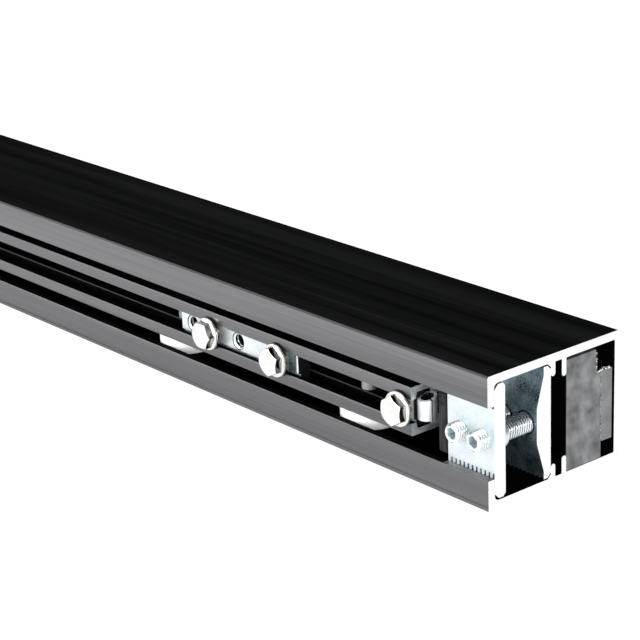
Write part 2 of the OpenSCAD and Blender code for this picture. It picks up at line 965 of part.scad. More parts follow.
// Flanged hexagon bolt, built along its axis from the front of its head
module hanger_bolt() {
    flange_low = hex_height;
    chamfer_r = hex_flats / 2 * hex_chamfer_share;
    intersection() {
        cylinder(d = hex_flats / cos(30), h = hex_height + cut / 2, $fn = 6);
        cylinder(r1 = chamfer_r, r2 = chamfer_r + (hex_height + cut / 2) * tan(60), h = hex_height + cut / 2);
    }
    translate([0, 0, flange_low])
        cylinder(d = bolt_flange_d, h = bolt_flange_thickness);
    translate([0, 0, flange_low])
        cylinder(d = bolt_d, h = bolt_tip - bolt_head_front - hex_height);
}

// Section of a nut that fills the groove and stands between the lips
module nut_section() {
    translate([bar_front, middle - bar_height / 2])
        square([bar_depth, bar_height]);
    translate([boss_front, middle - bar_boss_height / 2])
        square([bar_front - boss_front + cut, bar_boss_height]);
}

// Hole through a nut with a countersunk mouth
module nut_hole(x, diameter) {
    along_y(x, boss_front, middle) {
        translate([0, 0, -cut])
            cylinder(d = diameter, h = bar_rear - boss_front + 2 * cut);
        translate([0, 0, -shaft_gap])
            cylinder(d1 = diameter + 2 * thread_chamfer, d2 = diameter, h = thread_chamfer);
    }
}

module hanger_bar(end) {
    color(zinc)
        at_beam_end(end)
            difference() {
                along_x(bar_middle - bar_length / 2, bar_middle + bar_length / 2)
                    nut_section();
                for (x = [bar_middle - inner_bolt, bar_middle + outer_bolt])
                    nut_hole(x, bolt_d + 2 * shaft_gap);
                for (x = [bar_middle - end_hole, bar_middle])
                    nut_hole(x, tap_d);
            }
}

module hanger_bolts(end) {
    color(bright_steel)
        at_beam_end(end)
            for (x = [bar_middle - inner_bolt, bar_middle + outer_bolt])
                along_y(x, bolt_head_front, middle)
                    hanger_bolt();
}

// Nut block in the end of the T-slot that is rolled into an eye at the beam's end
module striker(end) {
    eye_x = beam_length / 2 + eye_stand;
    block_near = eye_x - eye_r + eye_root;
    color(zinc)
        at_beam_end(end)
            difference() {
                union() {
                    along_x(block_near - striker_length, block_near)
                        nut_section();
                    translate([eye_x, at_depth(eye_line), middle - eye_height / 2])
                        cylinder(d = eye_d, h = eye_height);
                }
                nut_hole(striker_bolt, bolt_d + 2 * shaft_gap);
                translate([eye_x, at_depth(eye_line), middle - eye_height])
                    cylinder(r = eye_r - eye_wall, h = 2 * eye_height);
            }
}

module striker_bolts() {
    color(bright_steel)
        for (end = [-1, 1])
            at_beam_end(end)
                along_y(striker_bolt, bolt_head_front, middle)
                    hanger_bolt();
}

housing();
stator_potting(1);  // near_stator_potting
stator_key(1);  // near_stator_key
stator_core(1);  // near_stator_core
stator_coils(1);  // near_stator_coils
stator_potting(-1);  // far_stator_potting
stator_key(-1);  // far_stator_key
stator_core(-1);  // far_stator_core
stator_coils(-1);  // far_stator_coils
sensor_board();
position_sensors();
stop_plate(1);  // near_stop_plate
stop_jaw(1);  // near_stop_jaw
stop_screws(1);  // near_stop_screws
stop_bumper(1);  // near_stop_bumper
stop_plate(-1);  // far_stop_plate
stop_jaw(-1);  // far_stop_jaw
stop_screws(-1);  // far_stop_screws
stop_bumper(-1);  // far_stop_bumper
carriage_beam();
magnet_plate();
magnets();
magnet_plate_screws();
axles();
axle_spacers();
axle_clips();
bearing_inner_rings();
bearing_balls();
striker(1);  // near_striker
striker(-1);  // far_striker
striker_bolts();
hanger_bar(1);  // near_hanger_bar
hanger_bolts(1);  // near_hanger_bolts
hanger_bar(-1);  // far_hanger_bar
hanger_bolts(-1);  // far_hanger_bolts
for (index = [1 : 8]) {
    roller_tyre(index);
    bearing_outer_ring(index);
}
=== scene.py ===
"""Looks of a linear-motor sliding door operator: its surfaces, finishes, light and camera.

Lengths are millimetres until a mesh is made. A point is (x, u, z): x along the profile,
u the distance behind the slot face, and z the height above the floor. WELD and
FLOOR_SHADE_HEIGHTS work on the mesh, in metres. Angles in fields are degrees.
"""

import logging
import math
from dataclasses import dataclass, field
from enum import Enum
from typing import Optional, Sequence

import bmesh
import bpy
import numpy as np
from mathutils import Matrix, Vector

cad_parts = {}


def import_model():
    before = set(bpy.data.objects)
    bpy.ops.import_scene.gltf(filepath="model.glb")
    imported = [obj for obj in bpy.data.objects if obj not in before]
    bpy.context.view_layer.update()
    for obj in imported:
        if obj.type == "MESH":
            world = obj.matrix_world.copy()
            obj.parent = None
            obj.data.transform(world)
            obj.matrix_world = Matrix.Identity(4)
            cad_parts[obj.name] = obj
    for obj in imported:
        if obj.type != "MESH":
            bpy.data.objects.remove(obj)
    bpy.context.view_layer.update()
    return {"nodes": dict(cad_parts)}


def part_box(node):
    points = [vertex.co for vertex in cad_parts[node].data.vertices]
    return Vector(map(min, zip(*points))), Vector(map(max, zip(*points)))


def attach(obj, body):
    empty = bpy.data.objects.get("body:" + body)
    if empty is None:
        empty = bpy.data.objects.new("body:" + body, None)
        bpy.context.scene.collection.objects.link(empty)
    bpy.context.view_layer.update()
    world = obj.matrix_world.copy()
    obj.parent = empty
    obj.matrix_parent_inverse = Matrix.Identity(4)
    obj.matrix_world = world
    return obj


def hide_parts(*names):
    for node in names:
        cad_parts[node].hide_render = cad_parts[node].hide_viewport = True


Array = np.ndarray
Triple = tuple[float, float, float]
Tone = Triple
Pairs = tuple[tuple[float, float], ...]
LOG = logging.getLogger("door_operator")

MM = 0.001
TURN = 2 * math.pi
X, U, Z = 0, 1, 2
ROLLERS = range(1, 9)
LEAST_RADIUS = 0.02
THREAD_SLOPE, THREAD_FLAT = 1.15, 0.075
THREAD_STEPS = 8
WELD = 2e-6
SHARP_ANGLE = math.radians(32)
FLOOR_SHADE_HEIGHTS = (0.012, 0.05)
FINE_OCTAVES, CLOUD_OCTAVES = 7.0, 3.0
WHITE = (1.0, 1.0, 1.0, 1.0)


class End(Enum):
    """The two ends of the profile, by their sign along x."""

    NEAR = 1
    FAR = -1

    @property
    def label(self) -> str:
        """Word that the names of this end's nodes start with."""
        return self.name.lower()


class Grain(Enum):
    """How fine a pattern is along x, y and z, in features per metre."""

    DRAWN = (5.0, 1100.0, 1100.0)
    SAWN = (400.0, 180.0, 1500.0)
    FLAKE = (1300.0, 1300.0, 1300.0)
    TURNED = (700.0, 2600.0, 700.0)
    MOULDED = (900.0, 900.0, 900.0)
    SMEARED = (300.0, 260.0, 110.0)
    WOUND = (60.0, 60.0, 3200.0)
    CLOUD = (22.0, 22.0, 22.0)
    BLOTCH = (120.0, 120.0, 120.0)
    LONG_CLOUD = (1.5, 60.0, 60.0)
    STREAK = (1500.0, 1500.0, 60.0)
    SPECK = (1100.0, 1100.0, 1100.0)


@dataclass(frozen=True)
class Finish:
    """Two tones that a fine grain and a slow cloud mix, with their gloss and relief."""

    name: str
    dark: Tone
    light: Tone
    grain: Grain
    metallic: float
    roughness: tuple[float, float]
    relief: float
    cloud: Grain = Grain.CLOUD
    cloud_share: float = 0.35
    contrast: float = 0.3
    specular: float = 0.5
    # Share of the tone left at the floor: painted shade that darkens the lower part.
    foot: float = 1.0
    glow: float = 0.0

    def material(self) -> bpy.types.Material:
        """Builds the finish as shader nodes on Object coordinates.

        Returns:
            The material, with its colour, roughness and normal worked out by nodes.
        """
        made = bpy.data.materials.new(self.name)
        made.use_nodes = True
        tree = made.node_tree
        shader = tree.nodes["Principled BSDF"]
        shader.inputs["Metallic"].default_value = self.metallic
        shader.inputs["Specular IOR Level"].default_value = self.specular
        shader.inputs["Emission Color"].default_value = WHITE
        shader.inputs["Emission Strength"].default_value = self.glow
        fine = self._noise(tree, self.grain, FINE_OCTAVES)
        slow = self._noise(tree, self.cloud, CLOUD_OCTAVES)
        mixed = tree.nodes.new("ShaderNodeMix")
        mixed.data_type = "FLOAT"
        mixed.inputs["Factor"].default_value = self.cloud_share
        tree.links.new(fine, mixed.inputs[2])
        tree.links.new(slow, mixed.inputs[3])
        ramp = tree.nodes.new("ShaderNodeValToRGB")
        low, high = 0.5 - self.contrast / 2, 0.5 + self.contrast / 2
        for element, place, tone in zip(ramp.color_ramp.elements, (low, high), (self.dark, self.light)):
            element.position = place
            element.color = (*tone, 1.0)
        tree.links.new(mixed.outputs[0], ramp.inputs["Fac"])
        tree.links.new(self._floor_shaded(tree, ramp.outputs["Color"]), shader.inputs["Base Color"])
        gloss = tree.nodes.new("ShaderNodeMapRange")
        for socket, value in zip(gloss.inputs[1:5], (low, high, *self.roughness)):
            socket.default_value = value
        tree.links.new(mixed.outputs[0], gloss.inputs["Value"])
        tree.links.new(gloss.outputs["Result"], shader.inputs["Roughness"])
        bump = tree.nodes.new("ShaderNodeBump")
        bump.inputs["Strength"].default_value = 1.0
        bump.inputs["Distance"].default_value = self.relief * MM
        tree.links.new(fine, bump.inputs["Height"])
        tree.links.new(bump.outputs["Normal"], shader.inputs["Normal"])
        return made

    def _floor_shaded(self, tree: bpy.types.NodeTree, tone: bpy.types.NodeSocket) -> bpy.types.NodeSocket:
        """Darkens a tone towards the floor as painted shade: scales it by the share left at each height, the
        foot's share at the bottom.

        Args:
            tree: The material's nodes.
            tone: The socket that gives the tone.

        Returns:
            The socket that gives the scaled tone.
        """
        place = tree.nodes.new("ShaderNodeTexCoord")
        split = tree.nodes.new("ShaderNodeSeparateXYZ")
        share = tree.nodes.new("ShaderNodeMapRange")
        for socket, value in zip(share.inputs[1:5], (*FLOOR_SHADE_HEIGHTS, self.foot, 1.0)):
            socket.default_value = value
        scaled = tree.nodes.new("ShaderNodeVectorMath")
        scaled.operation = "SCALE"
        tree.links.new(place.outputs["Object"], split.inputs["Vector"])
        tree.links.new(split.outputs["Z"], share.inputs["Value"])
        tree.links.new(tone, scaled.inputs[0])
        tree.links.new(share.outputs["Result"], scaled.inputs["Scale"])
        return scaled.outputs["Vector"]

    @staticmethod
    def _noise(tree: bpy.types.NodeTree, grain: Grain, detail: float) -> bpy.types.NodeSocket:
        """Adds a noise stretched by a grain.

        Args:
            tree: The material's nodes.
            grain: Features per metre along each axis.
            detail: Octaves of the noise.

        Returns:
            The socket that gives the noise, about 0.2 to 0.8.
        """
        place = tree.nodes.new("ShaderNodeTexCoord")
        scale = tree.nodes.new("ShaderNodeMapping")
        scale.inputs["Scale"].default_value = grain.value
        noise = tree.nodes.new("ShaderNodeTexNoise")
        noise.inputs["Scale"].default_value = 1.0
        noise.inputs["Detail"].default_value = detail
        tree.links.new(place.outputs["Object"], scale.inputs["Vector"])
        tree.links.new(scale.outputs["Vector"], noise.inputs["Vector"])
        return noise.outputs["Fac"]


# The anodising's foot share paints shade, darker towards the floor.
ANODISED = Finish("black_anodised", (0.156, 0.156, 0.162), (0.236, 0.237, 0.246), Grain.DRAWN,
                  1.0, (0.28, 0.32), 0.0008, Grain.LONG_CLOUD, 0.6, foot=0.74)
# A darker, matt copy of the anodising for the housing's outer faces: painted shade.
OUTER_SHADE = Finish("outer_shade_black", (0.0006, 0.0007, 0.0008), (0.0066, 0.007, 0.0076), Grain.DRAWN,
               0.0, (0.36, 0.48), 0.0008, Grain.LONG_CLOUD, 0.7, 0.22, specular=0.3)
# Painted shade on the housing's reveal groove and top front edge.
EDGE_SHADE = Finish("edge_shade_anodised", (0.042, 0.042, 0.044), (0.075, 0.075, 0.078), Grain.DRAWN,
             0.0, (0.5, 0.65), 0.001, Grain.LONG_CLOUD, 0.5, specular=0.1)
# Painted highlight line on the edges of the beam's axle-slot ledges.
LEDGE_HIGHLIGHT = Finish("painted_ledge_highlight", (0.026, 0.026, 0.027), (0.06, 0.06, 0.062), Grain.DRAWN,
               0.0, (0.45, 0.6), 0.001, Grain.LONG_CLOUD, 0.5, specular=0.2)
SHADED = Finish("unlit_anodised", (0.0006, 0.0006, 0.0006), (0.002, 0.002, 0.002), Grain.DRAWN,
                0.0, (0.55, 0.7), 0.002, Grain.LONG_CLOUD, 0.5, specular=0.02)
SAWN = Finish("sawn_aluminium", (0.84, 0.86, 0.87), (0.96, 0.965, 0.97), Grain.SAWN,
              0.7, (0.34, 0.55), 0.02, Grain.BLOTCH, 0.4)
CUT = Finish("cut_beam_end", (0.42, 0.49, 0.52), (0.86, 0.90, 0.91), Grain.FLAKE,
             0.75, (0.3, 0.5), 0.03, Grain.BLOTCH, 0.3)
ZINC = Finish("zinc_flake", (0.575, 0.65, 0.69), (0.80, 0.845, 0.868), Grain.FLAKE,
              0.7, (0.3, 0.44), 0.003, Grain.BLOTCH, 0.4)
# The strikers' paler zinc; on a hanger's bar it paints the highlight on the bar's end edge.
PALE_ZINC_AND_HIGHLIGHT = Finish("pale_zinc_and_highlight", (0.74, 0.80, 0.82), (0.93, 0.95, 0.955), Grain.FLAKE,
                0.35, (0.24, 0.4), 0.02, Grain.BLOTCH, 0.4)
SCREW = Finish("bright_screw", (0.66, 0.72, 0.75), (0.93, 0.95, 0.96), Grain.TURNED,
               0.8, (0.2, 0.34), 0.002, Grain.BLOTCH, 0.4)
# Zinc darkened as painted shade, more towards the floor; it also paints the bolt shadow on the hangers' bars.
JAW = Finish("shaded_zinc", (0.06, 0.13, 0.18), (0.70, 0.90, 0.98), Grain.FLAKE,
             0.8, (0.22, 0.4), 0.04, Grain.BLOTCH, 0.5, foot=0.3)
# Painted shade deep in the gaps between the plate's teeth.
TOOTH_GAP_SHADE = Finish("tooth_gap_shade", (0.008, 0.014, 0.018), (0.12, 0.17, 0.20), Grain.FLAKE, 0.7, (0.3, 0.5), 0.02)
# Lighter painted shade in the thread roots near the socket end and inside the socket.
VALLEY_SHADE = Finish("screw_valley_shade", (0.40, 0.49, 0.52), (0.62, 0.70, 0.73), Grain.TURNED,
                0.7, (0.3, 0.5), 0.01, Grain.BLOTCH, 0.4)
# Painted reflection of a stop's zinc plate on the lower lip's top face.
PLATE_REFLECTION = Finish("painted_plate_reflection", (0.055, 0.06, 0.06), (0.20, 0.212, 0.212), Grain.FLAKE,
               0.3, (0.3, 0.5), 0.02, Grain.BLOTCH, 0.4)
# Near-black painted shade for holes, bar ends, the eye's inside, shadowed rims and the bumper's neck.
DEEP_SHADE = Finish("painted_deep_shade", (0.002, 0.002, 0.003), (0.014, 0.015, 0.017), Grain.TURNED,
              0.0, (0.5, 0.7), 0.02, specular=0.05)
# Painted shade in the roots of the clamp screws' threads, deeper in.
ROOT_SHADE = Finish("screw_root_shade", (0.07, 0.10, 0.12), (0.28, 0.34, 0.37), Grain.TURNED,
              0.8, (0.3, 0.5), 0.01, Grain.BLOTCH, 0.4)
BOLT = Finish("bright_zinc", (0.79, 0.785, 0.77), (0.87, 0.865, 0.85), Grain.TURNED,
              0.88, (0.24, 0.3), 0.0002, Grain.BLOTCH, 0.8)
# A darker, glossier copy of the bolt zinc for the hexagon's sides: painted shade.
FACET_SHADE = Finish("bolt_facet_shade", (0.42, 0.415, 0.40), (0.72, 0.71, 0.69), Grain.TURNED,
               1.0, (0.1, 0.17), 0.0004, Grain.BLOTCH, 0.5)
# Painted shade on the bolt head's edges and creases.
RIM_SHADE = Finish("bolt_rim_shade", (0.12, 0.117, 0.112), (0.38, 0.37, 0.355), Grain.TURNED,
             0.9, (0.25, 0.4), 0.001, Grain.BLOTCH, 0.5)
SHANK = Finish("oiled_thread", (0.14, 0.115, 0.08), (0.46, 0.40, 0.30), Grain.TURNED,
               1.0, (0.25, 0.45), 0.02, Grain.BLOTCH, 0.4)
AXLE = Finish("polished_axle", (0.86, 0.83, 0.78), (0.97, 0.95, 0.91), Grain.TURNED,
              0.55, (0.18, 0.24), 0.0003)
STEEL = Finish("ground_steel", (0.72, 0.71, 0.69), (0.88, 0.87, 0.85), Grain.TURNED,
               1.0, (0.28, 0.34), 0.0003)
RUBBER = Finish("streaked_rubber", (0.004, 0.004, 0.005), (0.044, 0.044, 0.047), Grain.STREAK,
                0.0, (0.5, 0.8), 0.08, Grain.BLOTCH, 0.3, specular=0.12)
# The rollers' white nylon, with a faint glow that paints light on it.
NYLON = Finish("glowing_white_nylon", (0.90, 0.90, 0.89), (0.96, 0.96, 0.955), Grain.MOULDED,
               0.0, (0.35, 0.5), 0.004, glow=0.06)
POTTING = Finish("grey_potting", (0.056, 0.058, 0.061), (0.212, 0.215, 0.222), Grain.SMEARED,
                 0.0, (0.5, 0.75), 0.08, Grain.BLOTCH, 0.75)
KEY = Finish("painted_key", (0.12, 0.123, 0.128), (0.20, 0.203, 0.208), Grain.MOULDED,
             0.0, (0.5, 0.7), 0.04, Grain.BLOTCH, 0.7)
TORN = Finish("torn_edge", (0.004, 0.004, 0.004), (0.95, 0.94, 0.90), Grain.SPECK,
              0.3, (0.3, 0.6), 0.1, Grain.BLOTCH, 0.1, 0.06)
SEAM = Finish("rough_seam", (0.01, 0.01, 0.01), (0.42, 0.42, 0.41), Grain.SPECK,
              0.0, (0.5, 0.8), 0.05, Grain.BLOTCH, 0.1, 0.1)
COPPER = Finish("wound_copper", (0.30, 0.10, 0.035), (0.72, 0.32, 0.14), Grain.WOUND, 1.0, (0.25, 0.4), 0.05)
LAMINATION = Finish("stacked_iron", (0.20, 0.21, 0.22), (0.36, 0.37, 0.38), Grain.WOUND,
                    1.0, (0.35, 0.5), 0.02)
BOARD = Finish("board_green", (0.008, 0.055, 0.024), (0.016, 0.10, 0.045), Grain.MOULDED,
               0.0, (0.3, 0.5), 0.01)
SENSOR = Finish("sensor_black", (0.008, 0.008, 0.009), (0.02, 0.02, 0.021), Grain.MOULDED,
                0.0, (0.4, 0.6), 0.01)
NICKEL = Finish("magnet_nickel", (0.52, 0.52, 0.50), (0.70, 0.69, 0.66), Grain.FLAKE,
                1.0, (0.18, 0.3), 0.005)
FLOOR = Finish("pale_floor", (0.10, 0.10, 0.10), (0.11, 0.11, 0.11), Grain.CLOUD,
               0.0, (0.85, 0.87), 0.0, specular=0.0, glow=0.98)


@dataclass(frozen=True)
class NodeBox:
    """Lowest and highest corner of a node of the frame, as (x, u, z)."""

    low: Array
    high: Array

    @classmethod
    def of(cls, node: str) -> "NodeBox":
        """Reads a node's box.

        Args:
            node: The node's name.

        Returns:
            Its box, with u counted from the slot face.
        """
        slot_face = np.array([0.0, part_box("housing")[0].y, 0.0])
        low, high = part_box(node)
        return cls((np.array(low) - slot_face) / MM, (np.array(high) - slot_face) / MM)

    @property
    def middle(self) -> Array:
        """Centre of the box."""
        return (self.low + self.high) / 2

    @property
    def size(self) -> Array:
        """Length of each side."""
        return self.high - self.low


@dataclass
class Surface:
    """Points with blocks of faces, each block of one face size and one finish number."""

    points: Array
    blocks: list[Array]
    numbers: list[int]

    def mirrored(self, about: float) -> "Surface":
        """The surface with x turned round a plane at a given x."""
        return Surface(self.points * (-1, 1, 1) + (2 * about, 0, 0), self.blocks, self.numbers)

    def at(self, end: End, about: float = 0.0) -> "Surface":
        """The surface itself at the near end, or turned round a plane at a given x for the far end."""
        return self if end is End.NEAR else self.mirrored(about)

    def painted(self, number: int) -> "Surface":
        """The surface with all its faces under one finish number."""
        return Surface(self.points, self.blocks, [number] * len(self.blocks))

    def repainted(self, picked: Array, number: int) -> "Surface":
        """The surface with some faces of its first block under another finish number.

        Args:
            picked: Whether to pick each face of the first block.
            number: Finish number of those faces.

        Returns:
            The surface.
        """
        first = self.blocks[0]
        blocks = [first[~picked], first[picked], *self.blocks[1:]]
        return Surface(self.points, blocks, [self.numbers[0], number, *self.numbers[1:]])

    def polygons(self) -> list[list[int]]:
        """Every face as a list of point numbers."""
        return [face for block in self.blocks for face in block.tolist()]

    def finish_numbers(self) -> Array:
        """The finish number of every face, in the order of polygons."""
        return np.repeat(self.numbers, [len(block) for block in self.blocks])


def join(*parts: Surface) -> Surface:
    """Puts surfaces together, with each one's faces counted on from the last one's points.

    Args:
        parts: The surfaces.

    Returns:
        One surface with all their points, faces and finish numbers.
    """
    starts = np.cumsum([0] + [len(part.points) for part in parts])
    blocks = [block + start for part, start in zip(parts, starts) for block in part.blocks]
    numbers = [number for part in parts for number in part.numbers]
    return Surface(np.concatenate([part.points for part in parts]), blocks, numbers)


def grid(points: Array, wrap: bool = True, wrap_rows: bool = False, number: int = 0) -> Surface:
    """Joins a grid of points by quads, row to row and column to column.

    Args:
        points: Array of rows by columns by 3.
        wrap: Whether the last column meets the first.
        wrap_rows: Whether the last row meets the first.
        number: Finish number of the faces.

    Returns:
        The surface.
    """
    index = np.arange(points.shape[0] * points.shape[1]).reshape(points.shape[:2])
    index = np.pad(index, ((0, int(wrap_rows)), (0, int(wrap))), mode="wrap")
    quads = np.stack([index[:-1, :-1], index[:-1, 1:], index[1:, 1:], index[1:, :-1]], axis=-1)
    return Surface(points.reshape(-1, 3), [quads.reshape(-1, 4)], [number])


def cap(loop: Array, number: int = 0) -> Surface:
    """One flat face round a closed loop of points."""
    return Surface(loop, [np.arange(len(loop))[None]], [number])


def rounded(corners: Sequence[Triple], steps: int = 4) -> Array:
    """Closed outline with an arc at each corner.

    A corner P has unit vectors a and b to its neighbours and half angle h between them.
    Its arc has its centre at P + r / sin h along a + b, and turns evenly from the point
    r / tan h along a to the point r / tan h along b.

    Args:
        corners: Place of each corner and its radius.
        steps: Pieces of each arc.

    Returns:
        Points of the outline, one row each.
    """
    data = np.array(corners, float)
    point = data[:, :2]
    radius = np.maximum(data[:, 2:], LEAST_RADIUS)
    a = np.roll(point, 1, 0) - point
    b = np.roll(point, -1, 0) - point
    a /= np.linalg.norm(a, axis=1, keepdims=True)
    b /= np.linalg.norm(b, axis=1, keepdims=True)
    half = np.arccos(np.clip((a * b).sum(1, keepdims=True), -1, 1)) / 2
    bisector = (a + b) / np.linalg.norm(a + b, axis=1, keepdims=True)
    centre = point + bisector * radius / np.sin(half)
    first = point + a * radius / np.tan(half) - centre
    last = point + b * radius / np.tan(half) - centre
    turn = math.pi - 2 * half
    share = np.linspace(0, 1, steps + 1)
    start = np.sin((1 - share) * turn) / np.sin(turn)
    finish = np.sin(share * turn) / np.sin(turn)
    arcs = centre[:, None] + start[..., None] * first[:, None] + finish[..., None] * last[:, None]
    return arcs.reshape(-1, 2)


def inset(outline: Array, amount: Array) -> Array:
    """Moves every point of a closed outline inwards along its normal.

    The normal is square to the line between the two neighbours, and points away from
    the inside, which the sign of the outline's area tells.

    Args:
        outline: Points of the outline.
        amount: How far to move, one row of the result each.

    Returns:
        Array of amounts by points by 2.
    """
    tangent = np.roll(outline, -1, 0) - np.roll(outline, 1, 0)
    tangent /= np.linalg.norm(tangent, axis=1, keepdims=True)
    normal = np.stack([tangent[:, 1], -tangent[:, 0]], axis=1)
    after = np.roll(outline, -1, 0)
    area = np.sum(outline[:, 0] * after[:, 1] - outline[:, 1] * after[:, 0])
    return outline[None] - np.sign(area) * np.asarray(amount)[:, None, None] * normal[None]


def prism(outline: Array, low: float, high: float, edge: float, along: int = X,
          ends: int = 0, steps: int = 3) -> Surface:
    """Carries an outline along one axis, with quarter-round edges at both ends.

    At an angle f of the quarter round the outline is inset by edge (1 - sin f) and lies
    edge (1 - cos f) from the end.

    Args:
        outline: Closed outline in the other two axes.
        low: Where it starts.
        high: Where it ends.
        edge: Radius of the end edges.
        along: Axis that it is carried along.
        ends: Finish number of the end faces.
        steps: Pieces of each quarter round.

    Returns:
        The closed surface.
    """
    angle = np.linspace(0, math.pi / 2, steps + 1)
    place = edge * (1 - np.cos(angle))
    amount = edge * (1 - np.sin(angle))
    station = np.concatenate([low + place, high - place[::-1]])
    flat = inset(outline, np.concatenate([amount, amount[::-1]]))
    rows = np.empty((*flat.shape[:2], 3))
    rows[..., [axis for axis in (X, U, Z) if axis != along]] = flat
    rows[..., along] = station[:, None]
    return join(grid(rows), cap(rows[0], ends), cap(rows[-1], ends))


def run_inside(outline: Array, low: Sequence[float], high: Sequence[float]) -> Array:
    """Which runs of a closed outline have their middle inside a rectangle."""
    middle = (outline + np.roll(outline, -1, 0)) / 2
    return np.all((middle > low) & (middle < high), axis=1)


def angles(columns: int) -> Array:
    """Evenly spaced angles round a full turn."""
    return np.arange(columns) * TURN / columns


def lathe(radius: Array, height: Array, angle: Array, at: Sequence[float], along: int,
          closed: bool = False) -> Surface:
    """Turns rows of radii round an axis: each point lies at its row's height and its column's angle.

    Args:
        radius: Rows by columns, or rows by 1 where a row is round.
        height: Place along the axis, of the same form.
        angle: Angle of each column.
        at: Point that the axis passes through, where the height is 0.
        along: Axis to turn round.
        closed: Whether the last row meets the first, as on a ring.

    Returns:
        The surface.
    """
    radius, height, angle = np.broadcast_arrays(radius, height, angle)
    across = [axis for axis in (X, U, Z) if axis != along]
    points = np.empty((*radius.shape, 3))
    points[..., across[0]] = radius * np.cos(angle)
    points[..., across[1]] = radius * np.sin(angle)
    points[..., along] = height
    return grid(points + np.asarray(at, float), wrap_rows=closed)


def hexagon(angle: Array, flats: float) -> Array:
    """Radius of a hexagon: half its flats over the cosine of the angle to the nearest flat."""
    return flats / 2 / np.cos((angle + math.pi / 6) % (math.pi / 3) - math.pi / 6)


def thread(height: Array, angle: Array, pitch: float) -> Array:
    """Share of a V thread's depth: a triangle wave of the turns that height and angle make, cut flat."""
    turns = (height / pitch - angle / TURN) % 1
    return np.clip(THREAD_SLOPE * np.abs(2 * turns - 1) - THREAD_FLAT, 0, 1)


def stacked(*rows: tuple[Array | float, Array | float], columns: int) -> tuple[Array, Array]:
    """Stacks rows of (radius, height) into two arrays.

    Args:
        rows: Each a pair of numbers or of arrays with one value for each column.
        columns: Number of columns.

    Returns:
        The radii and the heights, rows by columns.
    """
    radius = np.stack([np.broadcast_to(row[0], columns) for row in rows])
    height = np.stack([np.broadcast_to(row[1], columns) for row in rows])
    return radius, height


def swept(station: Array, section: Array) -> Array:
    """Sets a section out at each station along x.

    Args:
        station: The places along x.
        section: Points as u and z, of one section or of one for each station.

    Returns:
        Array of stations by points by 3.
    """
    rows = np.empty((len(station), section.shape[-2], 3))
    rows[..., X] = station[:, None]
    rows[..., U:] = section
    return rows


@dataclass
class Bench:
    """Turns surfaces into pieces that ride on the frame's bodies."""

    slot_face: float
    materials: dict[str, bpy.types.Material] = field(default_factory=dict)

    def finish(self, finish: Finish) -> bpy.types.Material:
        """The material of a finish, made once.

        Args:
            finish: The finish.

        Returns:
            Its material.
        """
        if finish.name not in self.materials:
            self.materials[finish.name] = finish.material()
        return self.materials[finish.name]

    def mesh(self, name: str, surface: Surface, finishes: Sequence[Finish]) -> bpy.types.Object:
        """Makes an object from a surface, welded and with its faces outwards.

        Args:
            name: Name of the object.
            surface: Its points and faces.
            finishes: One finish for each finish number.

        Returns:
            The object, at the origin.
        """
        mesh = bpy.data.meshes.new(name)
        mesh.from_pydata((surface.points * MM + (0, self.slot_face, 0)).tolist(), [], surface.polygons())
        mesh.polygons.foreach_set("material_index", surface.finish_numbers().astype(np.int32))
        shell = bmesh.new()
        shell.from_mesh(mesh)
        bmesh.ops.remove_doubles(shell, verts=shell.verts, dist=WELD)
        bmesh.ops.recalc_face_normals(shell, faces=shell.faces)
        shell.to_mesh(mesh)
        shell.free()
        mesh.polygons.foreach_set("use_smooth", np.ones(len(mesh.polygons), bool))
        mesh.set_sharp_from_angle(angle=SHARP_ANGLE)
        for finish in finishes:
            mesh.materials.append(self.finish(finish))
        made = bpy.data.objects.new(name, mesh)
        bpy.context.scene.collection.objects.link(made)
        return made

    def piece(self, name: str, surface: Surface, body: str, slot: str, nodes: Sequence[str],
              *finishes: Finish) -> None:
        """Makes a piece, sets it on its body and lets it stand for its nodes.

        Args:
            name: Name of the piece.
            surface: Its points and faces.
            body: Body that it rides on.
            slot: Not used.
            nodes: Nodes of the frame that it stands for.
            finishes: One finish for each finish number.
        """
        made = self.mesh(name, surface, finishes)
        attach(made, body)
        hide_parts(*nodes)
        LOG.info("%s: %d faces on %s", name, len(made.data.polygons), body)


